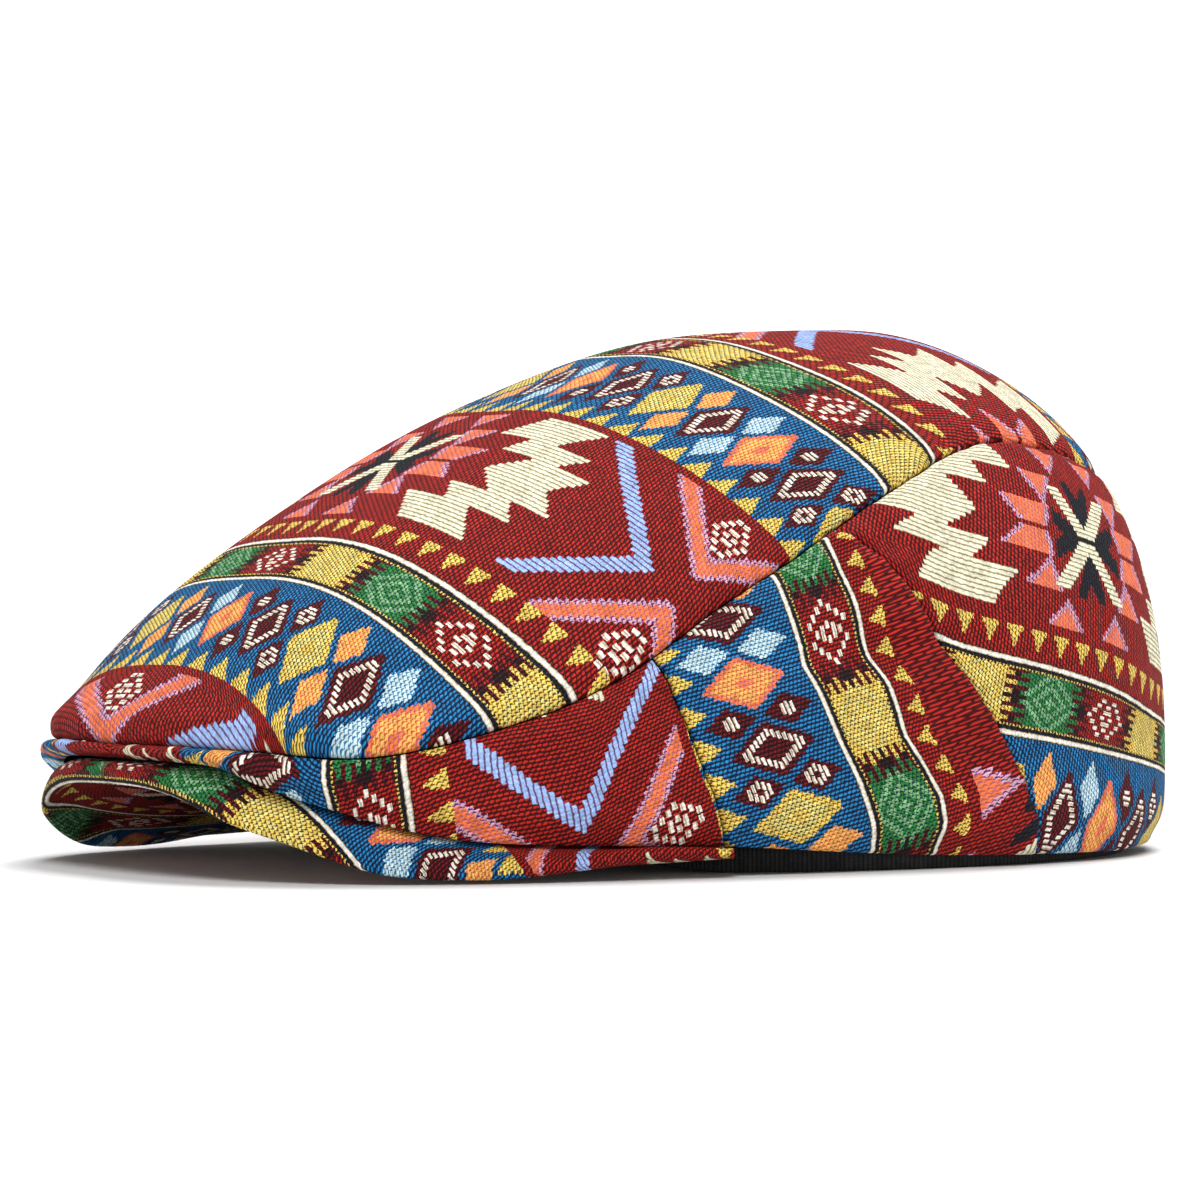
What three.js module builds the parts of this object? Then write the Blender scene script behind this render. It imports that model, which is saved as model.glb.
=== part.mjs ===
// A flat cap of woven patterned cloth: crown panels, a short arched peak and a sweatband.
// Millimetres, +Z up. The peak points to -Y, the wearer's left is +X, and the cap rests on z = 0.
// Angles run round the crown's axis, from the centre front (0) over the left side (90) to the back (180).

import * as THREE from 'three';

const DEGREE = Math.PI / 180;

// Driving dimensions of the crown
const HEIGHT = 123;
const HALF_WIDTH = 93;
const FRONT_REACH = 168;
const BACK_REACH = 100;
const AXIS_Y = (FRONT_REACH - BACK_REACH) / 2;
const APEX_SHIFT = 29;
const FRONT_SQUARENESS = 2.55;
const BACK_SQUARENESS = 2.25;
const CLOTH = 1.8;
const SEAM_GAP = 0.36;

// Side view of the crown in three directions: the widest height, and how full the plan and the dome are
const MERIDIANS = {
  front: { belly: 26, planFullness: 1.71, domeFullness: 1.35 },
  side: { belly: 17.5, planFullness: 2.21, domeFullness: 2.22 },
  back: { belly: 21, planFullness: 1.8, domeFullness: 2.89 },
};
const APEX_FULLNESS = 2.05;
const APEX_BLEND = 12;

// Seam between the top panel and the side panels
const TOP_SEAM = [
  { angle: 0, height: 29.4 },
  { angle: 8, height: 29.2 },
  { angle: 15, height: 27.9 },
  { angle: 25, height: 26.6 },
  { angle: 36, height: 35.2 },
  { angle: 43, height: 43.8 },
  { angle: 52, height: 58.6 },
  { angle: 62, height: 70 },
  { angle: 72, height: 79.8 },
  { angle: 84, height: 88.2 },
  { angle: 94, height: 93.6 },
  { angle: 106, height: 96.3 },
  { angle: 120, height: 95 },
  { angle: 147, height: 88.2 },
  { angle: 180, height: 85.5 },
];

// Lower edge of the side panels: on the peak as far as the peak's end, then the free hem
const HEM = [
  { angle: 0, height: 24.9 },
  { angle: 8, height: 24.8 },
  { angle: 13, height: 23.8 },
  { angle: 17, height: 19.8 },
  { angle: 21.5, height: 15.9 },
  { angle: 27.5, height: 11 },
  { angle: 33, height: 8.5 },
  { angle: 45, height: 7.2 },
  { angle: 55, height: 6.6 },
  { angle: 67, height: 5 },
  { angle: 84, height: 3.2 },
  { angle: 114, height: 2 },
  { angle: 125, height: 1.7 },
  { angle: 180, height: 3 },
];

// Seam between the front and middle side panels, and the folded rear edge of the middle panel.
// A share of 0 is the hem and 1 is the top seam.
const MIDDLE_SEAM = [
  { share: 0, angle: 54.6 },
  { share: 0.3, angle: 51.7 },
  { share: 0.65, angle: 48.6 },
  { share: 1, angle: 45.6 },
];
const FOLD_EDGE = [
  { share: 0, angle: 102 },
  { share: 0.11, angle: 100 },
  { share: 0.38, angle: 91 },
  { share: 0.54, angle: 84.5 },
  { share: 0.73, angle: 78.8 },
  { share: 1, angle: 67 },
];
const FOLD_LIFT = 1.1;
const FOLD_WIDTH_SHARE = 0.16;

// How far the cloth pulls in at its edges, round the crown
const EDGE_PULL = [
  { angle: 0, hem: 4, seam: 2.2 },
  { angle: 24, hem: 4, seam: 2.2 },
  { angle: 36, hem: 3.6, seam: 1.5 },
  { angle: 60, hem: 3.2, seam: 1 },
  { angle: 180, hem: 3.4, seam: 1 },
];
const HEM_PULL_HEIGHT = 5;
const HEM_PULL_SHARE = 0.36;
const SEAM_PULL_HEIGHT = 2.6;
const SEAM_PULL_SHARE = 0.3;

// How far the front corners stand out round the lip, fading above the top seam, and the peak below them
const FLARE = { angle: 21, angleSpread: 12, fadeHeight: 8, crown: 4, peak: 3 };

// Soft dents that the standing cap has in its side
const DENTS = [
  { angle: 72, height: 49, depth: 1.8, angleSpread: 13, heightSpread: 5 },
  { angle: 33, height: 22, depth: 1.4, angleSpread: 8, heightSpread: 5 },
  { angle: 118, height: 26, depth: 1.2, angleSpread: 14, heightSpread: 8 },
];

// Peak: heights of its rim's underside and of its inner edge; the crown sits on it just inside the rim
const PEAK_END = 54.5;
const PEAK_THICKNESS = 4.8;
const PEAK_END_THICKNESS = 2;
const PEAK_TAPER_START = 34;
const PEAK_MARGIN = 8;
const PEAK_SEAT_GAP = 0.7;
const PEAK = [
  { angle: 0, rim: 19.6, inner: 23 },
  { angle: 6, rim: 18.6, inner: 22.8 },
  { angle: 10, rim: 16.2, inner: 22.6 },
  { angle: 14, rim: 11.8, inner: 22.2 },
  { angle: 19, rim: 7.4, inner: 21 },
  { angle: 25, rim: 1.4, inner: 19 },
  { angle: 28, rim: 0, inner: 17.8 },
  { angle: 34, rim: 0, inner: 15 },
  { angle: 40, rim: 2.2, inner: 12 },
  { angle: 46, rim: 4.3, inner: 9 },
  { angle: 54.5, rim: 4.6, inner: 6.6 },
];

// Sweatband: an oval ring inside the head opening
const BAND_HALF_WIDTH = 86;
const BAND_FRONT_REACH = 100;
const BAND_BACK_REACH = 93.5;
const BAND_SQUARENESS = 2.1;
const BAND_THICKNESS = 1.6;
const BAND_HEIGHT = 32;
const BAND_RISE = 17;
const BAND_RISE_END = 56;

// Number of facets along each piece
const FRONT_COLUMNS = 12;
const MIDDLE_COLUMNS = 7;
const BACK_COLUMNS = 18;
const PANEL_ROWS = 9;
const DOME_RINGS = 12;
const PEAK_COLUMNS = 34;
const BAND_COLUMNS = 72;

const mix = (from, to, share) => from + (to - from) * share;
const bell = (distance, spread) => Math.exp(-((distance / spread) ** 2));

// Smooth curve through a table's rows, read at one value of its first column
function readTable(rows, keyName, valueName, key) {
  const last = rows.length - 1;
  const at = Math.min(Math.max(key, rows[0][keyName]), rows[last][keyName]);
  let i = 0;
  while (i < last - 1 && at > rows[i + 1][keyName]) i += 1;
  const slope = (j) => {
    const before = rows[Math.max(j - 1, 0)];
    const after = rows[Math.min(j + 1, last)];
    return (after[valueName] - before[valueName]) / (after[keyName] - before[keyName]);
  };
  const step = rows[i + 1][keyName] - rows[i][keyName];
  const t = (at - rows[i][keyName]) / step;
  const startWeight = 2 * t ** 3 - 3 * t ** 2 + 1;
  const startSlopeWeight = t ** 3 - 2 * t ** 2 + t;
  const endSlopeWeight = t ** 3 - t ** 2;
  return startWeight * rows[i][valueName] + (1 - startWeight) * rows[i + 1][valueName]
    + step * (startSlopeWeight * slope(i) + endSlopeWeight * slope(i + 1));
}

// Distance from the axis to a superelliptic oval
function ovalReach(angle, front, back, halfWidth, squareness) {
  const across = Math.abs(Math.sin(angle * DEGREE)) / halfWidth;
  const along = Math.abs(Math.cos(angle * DEGREE)) / (Math.cos(angle * DEGREE) > 0 ? front : back);
  return 1 / (across ** squareness + along ** squareness) ** (1 / squareness);
}

function crownReach(angle) {
  const squareness = Math.cos(angle * DEGREE) > 0 ? FRONT_SQUARENESS : BACK_SQUARENESS;
  return ovalReach(angle, FRONT_REACH, BACK_REACH, HALF_WIDTH, squareness);
}

function bandReach(angle) {
  return ovalReach(angle, BAND_FRONT_REACH, BAND_BACK_REACH, BAND_HALF_WIDTH, BAND_SQUARENESS);
}

function meridianValue(angle, name) {
  const forward = Math.cos(angle * DEGREE);
  const frontShare = Math.max(forward, 0) ** 1.5;
  const backShare = Math.max(-forward, 0) ** 1.5;
  return frontShare * MERIDIANS.front[name] + backShare * MERIDIANS.back[name]
    + (1 - frontShare - backShare) * MERIDIANS.side[name];
}

function place(angle, radius, height) {
  const x = radius * Math.sin(angle * DEGREE);
  return new THREE.Vector3(x, AXIS_Y - radius * Math.cos(angle * DEGREE), height);
}

// Point of the smooth dome; the rise is 0 at the widest height and 90 at the apex
function domePoint(angle, rise) {
  const sine = Math.sin(rise * DEGREE);
  const apexShare = sine ** APEX_BLEND;
  const plan = mix(meridianValue(angle, 'planFullness'), APEX_FULLNESS, apexShare);
  const dome = mix(meridianValue(angle, 'domeFullness'), APEX_FULLNESS, apexShare);
  const belly = meridianValue(angle, 'belly');
  const share = Math.max(Math.cos(rise * DEGREE), 0) ** (2 / plan);
  const point = place(angle, crownReach(angle) * share, belly + (HEIGHT - belly) * sine ** (2 / dome));
  point.y += APEX_SHIFT * (1 - share);
  return point;
}

// Rise of the dome at a given height
function riseAt(angle, height) {
  let low = 0;
  let high = 90;
  for (let i = 0; i < 40; i += 1) {
    const middle = (low + high) / 2;
    if (domePoint(angle, middle).z < height) low = middle;
    else high = middle;
  }
  return (low + high) / 2;
}

function basePoint(angle, height) {
  if (height <= meridianValue(angle, 'belly')) return place(angle, crownReach(angle), height);
  return domePoint(angle, riseAt(angle, height));
}

// Outward direction of a smooth surface, from a small step along each of its two directions
function outwardAt(surface, angle, second, step) {
  const round = surface(angle + step, second).sub(surface(angle - step, second));
  const up = surface(angle, second + step).sub(surface(angle, second - step));
  return round.cross(up).normalize();
}

const topSeamHeight = (angle) => readTable(TOP_SEAM, 'angle', 'height', Math.abs(angle));
const hemHeight = (angle) => readTable(HEM, 'angle', 'height', Math.abs(angle));

// How far the front corner stands out of the smooth dome
function flare(angle, height) {
  const above = Math.max(height - topSeamHeight(angle), 0);
  return FLARE.crown * bell(Math.abs(angle) - FLARE.angle, FLARE.angleSpread) * bell(above, FLARE.fadeHeight);
}

// How far the cloth stands inside the smooth dome, from its pulled-in edges and dents
function pulledIn(angle, height) {
  const hem = hemHeight(angle);
  const seam = topSeamHeight(angle);
  const hemPullHeight = Math.min(HEM_PULL_HEIGHT, HEM_PULL_SHARE * (seam - hem));
  const seamPullHeight = Math.min(SEAM_PULL_HEIGHT, SEAM_PULL_SHARE * (seam - hem));
  let inward = readTable(EDGE_PULL, 'angle', 'hem', angle) * bell(height - hem, hemPullHeight);
  inward += readTable(EDGE_PULL, 'angle', 'seam', angle) * bell(height - seam, seamPullHeight);
  for (const dent of DENTS) {
    const fade = bell(angle - dent.angle, dent.angleSpread) * bell(height - dent.height, dent.heightSpread);
    inward += dent.depth * fade;
  }
  return inward - flare(angle, height);
}

// Closed solid between two grids of points, which are functions of a column and a row
function shellGeometry(columns, rows, outer, inner) {
  const positions = [];
  const triangles = [];
  const width = rows + 1;
  const layer = (columns + 1) * width;
  for (const side of [outer, inner]) {
    for (let i = 0; i <= columns; i += 1) {
      for (let j = 0; j <= rows; j += 1) positions.push(...side(i, j).toArray());
    }
  }
  const quad = (a, b, c, d) => triangles.push(a, b, c, a, c, d);
  const at = (i, j) => i * width + j;
  for (let i = 0; i < columns; i += 1) {
    for (let j = 0; j < rows; j += 1) {
      quad(at(i, j), at(i + 1, j), at(i + 1, j + 1), at(i, j + 1));
      quad(layer + at(i, j), layer + at(i, j + 1), layer + at(i + 1, j + 1), layer + at(i + 1, j));
    }
  }
  for (let i = 0; i < columns; i += 1) {
    quad(at(i, 0), layer + at(i, 0), layer + at(i + 1, 0), at(i + 1, 0));
    quad(at(i, rows), at(i + 1, rows), layer + at(i + 1, rows), layer + at(i, rows));
  }
  for (let j = 0; j < rows; j += 1) {
    quad(at(0, j), at(0, j + 1), layer + at(0, j + 1), layer + at(0, j));
    quad(at(columns, j), layer + at(columns, j), layer + at(columns, j + 1), at(columns, j + 1));
  }
  return meshGeometry(positions, triangles);
}

// Closed dome between two surfaces, which are functions of a column and a ring, with one point at each apex
function domeGeometry(columns, rings, outer, inner) {
  const positions = [];
  const triangles = [];
  const layer = columns * rings + 1;
  for (const side of [outer, inner]) {
    for (let j = 0; j < rings; j += 1) {
      for (let i = 0; i < columns; i += 1) positions.push(...side(i, j).toArray());
    }
    positions.push(...side(0, rings).toArray());
  }
  const at = (i, j) => j * columns + (i % columns);
  const apex = columns * rings;
  for (let i = 0; i < columns; i += 1) {
    for (let j = 0; j < rings - 1; j += 1) {
      const corners = [at(i, j), at(i + 1, j), at(i + 1, j + 1), at(i, j + 1)];
      const [a, b, c, d] = corners;
      triangles.push(a, b, c, a, c, d);
      triangles.push(layer + a, layer + c, layer + b, layer + a, layer + d, layer + c);
    }
    const [a, b] = [at(i, rings - 1), at(i + 1, rings - 1)];
    triangles.push(a, b, apex, layer + b, layer + a, layer + apex);
    const [c, d] = [at(i, 0), at(i + 1, 0)];
    triangles.push(d, c, layer + c, d, layer + c, layer + d);
  }
  return meshGeometry(positions, triangles);
}

// Closed ring swept round the axis, from a section given as four corners
function ringGeometry(columns, section) {
  const positions = [];
  const triangles = [];
  const corners = 4;
  for (let i = 0; i < columns; i += 1) {
    for (const point of section((360 * i) / columns)) positions.push(...point.toArray());
  }
  for (let i = 0; i < columns; i += 1) {
    for (let k = 0; k < corners; k += 1) {
      const a = i * corners + k;
      const b = i * corners + ((k + 1) % corners);
      const c = ((i + 1) % columns) * corners + ((k + 1) % corners);
      const d = ((i + 1) % columns) * corners + k;
      triangles.push(a, c, b, a, d, c);
    }
  }
  return meshGeometry(positions, triangles);
}

function meshGeometry(positions, triangles) {
  const geometry = new THREE.BufferGeometry();
  geometry.setAttribute('position', new THREE.Float32BufferAttribute(positions, 3));
  geometry.setIndex(triangles);
  geometry.computeVertexNormals();
  return geometry;
}

// The same piece on the wearer's right
function mirrored(geometry) {
  const positions = Array.from(geometry.getAttribute('position').array);
  for (let i = 0; i < positions.length; i += 3) positions[i] = -positions[i];
  const order = Array.from(geometry.getIndex().array);
  for (let i = 0; i < order.length; i += 3) [order[i], order[i + 1]] = [order[i + 1], order[i]];
  return meshGeometry(positions, order);
}

// Left-hand side panel between two seams, each a function of the share of the height
function sidePanel(columns, startSeam, endSeam, lift) {
  const locate = (i, j) => {
    const share = j / PANEL_ROWS;
    const edgeGap = (angle) => SEAM_GAP / 2 / crownReach(angle) / DEGREE;
    const start = startSeam(share);
    const end = endSeam(share);
    const angle = mix(start + edgeGap(start), end - edgeGap(end), i / columns);
    const height = mix(hemHeight(angle), topSeamHeight(angle) - SEAM_GAP / 2, share);
    return { angle, height, across: i / columns };
  };
  const surface = (depth) => (i, j) => {
    const { angle, height, across } = locate(i, j);
    const outward = outwardAt(basePoint, angle, height, 0.3);
    const stand = lift(across) - pulledIn(angle, height) - depth;
    return basePoint(angle, height).addScaledVector(outward, stand);
  };
  return shellGeometry(columns, PANEL_ROWS, surface(0), surface(CLOTH));
}

const centreFront = () => 0;
const centreBack = () => 180;
const middleSeam = (share) => readTable(MIDDLE_SEAM, 'share', 'angle', share);
const foldEdge = (share) => readTable(FOLD_EDGE, 'share', 'angle', share);
const flat = () => 0;
const foldLift = (across) => FOLD_LIFT * bell(1 - across, FOLD_WIDTH_SHARE);

// Directions of the top panel's meridians: the same columns as the panels below it
function topAngles() {
  const joints = [[0, middleSeam(1), FRONT_COLUMNS], [middleSeam(1), foldEdge(1), MIDDLE_COLUMNS],
    [foldEdge(1), 180, BACK_COLUMNS]];
  const left = [];
  for (const [start, end, count] of joints) {
    for (let i = 0; i < count; i += 1) left.push(mix(start, end, i / count));
  }
  const right = left.slice(1).map((angle) => 360 - angle).reverse();
  return [...left, 180, ...right];
}

function topPanel() {
  const angles = topAngles();
  const signed = (angle) => (angle > 180 ? angle - 360 : angle);
  const surface = (depth) => (i, ring) => {
    const angle = signed(angles[i % angles.length]);
    if (ring === DOME_RINGS) return new THREE.Vector3(0, AXIS_Y + APEX_SHIFT, HEIGHT - depth);
    const edgeRise = riseAt(angle, topSeamHeight(angle) + SEAM_GAP / 2);
    const rise = mix(edgeRise, 90, (ring / DOME_RINGS) ** 1.15);
    const point = domePoint(angle, rise);
    const outward = outwardAt(domePoint, angle, rise, 0.3);
    const pull = readTable(EDGE_PULL, 'angle', 'seam', Math.abs(angle));
    const inward = pull * bell(point.z - topSeamHeight(angle), SEAM_PULL_HEIGHT) - flare(angle, point.z);
    return point.addScaledVector(outward, -inward - depth);
  };
  return domeGeometry(angles.length, DOME_RINGS, surface(0), surface(CLOTH));
}

// The peak: a curved board from the head opening to the front rim, rounded and bent down at the rim
function peakBoard() {
  const insets = [0, 0.5, 1.6, 3.2, 5.5, PEAK_MARGIN, 14, 22];
  const rows = insets.length;
  const surface = (side) => (i, j) => {
    const angle = mix(-PEAK_END, PEAK_END, i / PEAK_COLUMNS);
    const key = Math.abs(angle);
    const rimReach = crownReach(angle) + FLARE.peak * bell(key - FLARE.angle, FLARE.angleSpread);
    const innerReach = bandReach(angle) + SEAM_GAP;
    const inset = j === 0 ? rimReach - innerReach : Math.min(insets[rows - j], (rimReach - innerReach) * 0.8);
    const taper = Math.max((key - PEAK_TAPER_START) / (PEAK_END - PEAK_TAPER_START), 0);
    const thickness = mix(PEAK_THICKNESS, PEAK_END_THICKNESS, taper);
    const rim = readTable(PEAK, 'angle', 'rim', key) + thickness / 2;
    const seat = hemHeight(key) - PEAK_SEAT_GAP - thickness / 2;
    const inner = readTable(PEAK, 'angle', 'inner', key) - thickness / 2;
    const marginShare = Math.sin(Math.min(inset / PEAK_MARGIN, 1) * 90 * DEGREE);
    const innerShare = Math.max(inset - PEAK_MARGIN, 0) / (rimReach - innerReach - PEAK_MARGIN);
    const middle = mix(mix(rim, seat, marginShare), inner, innerShare);
    const rounding = Math.sqrt(1 - (1 - Math.min(inset / (thickness / 2), 1)) ** 2);
    const half = (thickness / 2) * mix(0.3, 1, rounding);
    return place(angle, rimReach - inset, middle + side * half);
  };
  return shellGeometry(PEAK_COLUMNS, rows, surface(-1), surface(1));
}

function sweatbandRing() {
  return ringGeometry(BAND_COLUMNS, (turn) => {
    const angle = turn > 180 ? turn - 360 : turn;
    const nearFront = Math.min(Math.abs(angle) / BAND_RISE_END, 1);
    const bottom = BAND_RISE * Math.cos(nearFront * 90 * DEGREE) ** 2;
    const outer = bandReach(angle);
    const inner = outer - BAND_THICKNESS;
    return [place(angle, inner, bottom), place(angle, outer, bottom),
      place(angle, outer, bottom + BAND_HEIGHT), place(angle, inner, bottom + BAND_HEIGHT)];
  });
}

const cloth = new THREE.MeshStandardMaterial({ color: 0x8a3b33, roughness: 0.9, metalness: 0 });
const bandCloth = new THREE.MeshStandardMaterial({ color: 0x16161a, roughness: 0.85, metalness: 0 });

function addPiece(group, name, geometry, material) {
  const piece = new THREE.Mesh(geometry, material);
  piece.name = name;
  group.add(piece);
}

function addPair(group, name, geometry) {
  addPiece(group, `${name}_left`, geometry, cloth);
  addPiece(group, `${name}_right`, mirrored(geometry), cloth);
}

const cap = new THREE.Group();
addPiece(cap, 'crown_top', topPanel(), cloth);
addPair(cap, 'side_front', sidePanel(FRONT_COLUMNS, centreFront, middleSeam, flat));
addPair(cap, 'side_mid', sidePanel(MIDDLE_COLUMNS, middleSeam, foldEdge, foldLift));
addPair(cap, 'back', sidePanel(BACK_COLUMNS, foldEdge, centreBack, flat));
addPiece(cap, 'peak', peakBoard(), cloth);
addPiece(cap, 'sweatband', sweatbandRing(), bandCloth);

export default cap;
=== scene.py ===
"""A flat cap of patterned jacquard cloth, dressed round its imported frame.

Lengths are in millimetres until a mesh, light or camera is made, and in metres from there on.
The peak points to -Y, the wearer's left is +X, and the cap rests on z = 0. Angles run round the
crown's axis in degrees, from the centre front (0) over the left side (90) to the back (180).
"""

import math

import bpy
import numpy as np
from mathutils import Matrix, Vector


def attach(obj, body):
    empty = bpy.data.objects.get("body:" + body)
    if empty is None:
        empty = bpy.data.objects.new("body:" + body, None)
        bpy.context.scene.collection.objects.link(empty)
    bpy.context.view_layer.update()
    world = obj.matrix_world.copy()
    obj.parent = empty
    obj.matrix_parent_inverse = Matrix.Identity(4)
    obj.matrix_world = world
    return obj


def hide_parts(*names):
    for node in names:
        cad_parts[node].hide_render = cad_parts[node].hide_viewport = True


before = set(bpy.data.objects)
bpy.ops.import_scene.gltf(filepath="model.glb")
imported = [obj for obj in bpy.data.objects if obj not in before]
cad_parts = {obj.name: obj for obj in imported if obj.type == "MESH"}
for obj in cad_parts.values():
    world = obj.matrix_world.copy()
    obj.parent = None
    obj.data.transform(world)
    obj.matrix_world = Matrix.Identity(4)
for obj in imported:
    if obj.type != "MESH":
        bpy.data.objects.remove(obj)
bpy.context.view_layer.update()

METRE = 0.001
DEGREE = math.pi / 180

# Driving dimensions of the crown, as in the part's source
HEIGHT = 123.0
HALF_WIDTH = 93.0
FRONT_REACH = 168.0
BACK_REACH = 100.0
AXIS_Y = (FRONT_REACH - BACK_REACH) / 2
APEX_SHIFT = 29.0
FRONT_SQUARENESS = 2.55
BACK_SQUARENESS = 2.25
CLOTH = 1.8
SEAM_GAP = 0.36

# Side view of the crown in three directions: the widest height, and how full the plan and the dome are
MERIDIANS = {
    "front": {"belly": 26.0, "plan": 1.71, "dome": 1.35},
    "side": {"belly": 17.5, "plan": 2.21, "dome": 2.22},
    "back": {"belly": 21.0, "plan": 1.8, "dome": 2.89},
}
APEX_FULLNESS = 2.05
APEX_BLEND = 12

# Height of the seam between the top panel and the side panels, at angles round the crown
TOP_SEAM = {
    0: 29.4, 8: 29.2, 15: 27.9, 25: 26.6, 36: 35.2, 43: 43.8, 52: 58.6, 62: 70.0, 72: 79.8,
    84: 88.2, 94: 93.6, 106: 96.3, 120: 95.0, 147: 88.2, 180: 85.5,
}
# Height of the side panels' lower edge, at angles round the crown
HEM = {
    0: 24.9, 8: 24.8, 13: 23.8, 17: 19.8, 21.5: 15.9, 27.5: 11.0, 33: 8.5, 45: 7.2, 55: 6.6,
    67: 5.0, 84: 3.2, 114: 2.0, 125: 1.7, 180: 3.0,
}
# Angle of two seams, at shares of the height between the hem (0) and the top seam (1)
MIDDLE_SEAM = {0: 54.6, 0.3: 51.7, 0.65: 48.6, 1: 45.6}
FOLD_EDGE = {0: 102.0, 0.11: 100.0, 0.38: 91.0, 0.54: 84.5, 0.73: 78.8, 1: 67.0}
FOLD_LIFT = 1.1
FOLD_WIDTH_SHARE = 0.16

# How far the cloth pulls in at its edges, at angles round the crown
HEM_PULL = {0: 4.0, 24: 4.0, 36: 3.6, 60: 3.2, 180: 3.4}
SEAM_PULL = {0: 2.2, 24: 2.2, 36: 1.5, 60: 1.0, 180: 1.0}
HEM_PULL_HEIGHT = 5.0
HEM_PULL_SHARE = 0.36
SEAM_PULL_HEIGHT = 2.6
SEAM_PULL_SHARE = 0.3

# How far the front corners stand out round the lip, and soft dents in the side
FLARE = {"angle": 21.0, "spread": 12.0, "fade": 8.0, "crown": 4.0, "peak": 3.0}
DENTS = (
    {"angle": 72.0, "height": 49.0, "depth": 1.8, "wide": 13.0, "high": 5.0},
    {"angle": 33.0, "height": 22.0, "depth": 1.4, "wide": 8.0, "high": 5.0},
    {"angle": 118.0, "height": 26.0, "depth": 1.2, "wide": 14.0, "high": 8.0},
)

# Peak: height of its rim's underside and of its inner edge, at angles round the crown
PEAK_END = 54.5
PEAK_THICKNESS = 4.8
PEAK_END_THICKNESS = 2.0
PEAK_TAPER_START = 34.0
PEAK_MARGIN = 8.0
PEAK_SEAT_GAP = 0.7
PEAK_RIM = {
    0: 19.6, 6: 18.6, 10: 16.2, 14: 11.8, 19: 7.4, 25: 1.4, 28: 0.0, 34: 0.0, 40: 2.2, 46: 4.3,
    54.5: 4.6,
}
PEAK_INNER = {
    0: 23.0, 6: 22.8, 10: 22.6, 14: 22.2, 19: 21.0, 25: 19.0, 28: 17.8, 34: 15.0, 40: 12.0,
    46: 9.0, 54.5: 6.6,
}

# Sweatband: an oval ring inside the head opening
BAND_HALF_WIDTH = 86.0
BAND_FRONT_REACH = 100.0
BAND_BACK_REACH = 93.5
BAND_SQUARENESS = 2.1
BAND_THICKNESS = 1.6
BAND_HEIGHT = 32.0
BAND_RISE = 17.0
BAND_RISE_END = 56.0

# Fine form of the cloth, which only the dressed pieces have
EDGE_ROLL = 1.3
PUCKER_DEPTH = 0.22
PUCKER_PITCH = 8.5
PUCKER_REACH = 7.0
# Waves of the gathered cloth and of its slow sag, by their turns for each length
PUCKER_WAVES = (
    {"turns": 1.0, "size": 1.0, "seed": 1.7},
    {"turns": 0.61, "size": 0.7, "seed": 2.9},
    {"turns": 1.73, "size": 0.5, "seed": 1.0},
)
SAG_DEPTH = 0.45
SAG_LONG = (1 / 17, 1 / 31, 1 / 23)
SAG_CROSS = (0, 1 / 19, -1 / 27)
SAG_SHORT = (1 / 9, -1 / 14, 1 / 11)
SAG_SHORT_SHARE = 0.5
SAG_FADE = 20.0

# Side panels: their seams, the columns and rows of their mesh, and their lift at the fold
CENTRE_FRONT = {0: 0.0, 1: 0.0}
CENTRE_BACK = {0: 180.0, 1: 180.0}
SIDE_PANELS = {
    "side_front": {"from": CENTRE_FRONT, "to": MIDDLE_SEAM, "columns": 110, "rows": 40, "lift": 0.0},
    "side_mid": {"from": MIDDLE_SEAM, "to": FOLD_EDGE, "columns": 44, "rows": 64, "lift": FOLD_LIFT},
    "back": {"from": FOLD_EDGE, "to": CENTRE_BACK, "columns": 130, "rows": 64, "lift": 0.0},
}
# Rows of the other meshes, close together at their edges
EDGE_ROWS = (0.0, 0.2, 0.55, 1.0)
TOP_ROWS = {"columns": 280, "edge": (0.0, 0.0015, 0.004, 0.008), "from": 0.012, "rings": 84, "spread": 1.1}
PEAK_INSETS = (0, 0.08, 0.3, 0.65, 1.1, 1.7, 2.4, 3.2, 4.3, 5.5, 6.8, 8, 9.5, 11.5, 14, 18, 22)
PEAK_ROWS = {"columns": 200, "reach": 0.85, "spread": 0.6, "inner": (0.4, 0.75, 1.0), "rim": 0.08}
BAND_ROWS = {"columns": 288, "corner": 9, "wall": 18}

# The cloth's pattern is placed in millimetres along and across its bands, kept in units of a metre
CLOTH_UNIT = 1000.0
SHARP_ANGLE = 50.0

# Top panel: a curve across it bends back by these terms of its middle and its ends, in shares of
# its width and length
TOP_BEND = {"wide": 80.0, "long": 100.0, "middle": (25.0, 9.0, -6.5), "ends": (2.5, -7.2)}
TOP_MAP = {"step": 2.0, "side": 96.0, "from": -152.0, "to": 142.0, "rounds": 60}
# Distance across the bands, against where the curve starts on the panel's centre line
TOP_BANDS = {
    -134: -80, -121: -57, -99: -19, -87.5: 0, -35: 60, -2: 97, 18: 117, 60: 158, 100: 201,
    120: 230, 130: 245,
}
# Stretch and shift of the pattern along the bands, against the distance across them
TOP_STRETCH = {
    -80: 0.72, -62: 0.72, -56: 0.92, -48: 1.0, 20: 1.0, 60: 1.14, 80: 1.22, 97: 1.14, 112: 1.12,
    124: 1.0, 240: 1.0,
}
TOP_SHIFT = {-60: 0.0, 20: 0.0, 60: -1.5, 80: -6.0, 97: 0.0, 112: 0.0, 124: 0.0, 240: 0.0}

# Side panels: distances across the bands that several of them are set by
LINE_B = 97.5
BAND_REPEAT = 117.0
FIELD_WIDE = 60.0

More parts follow.
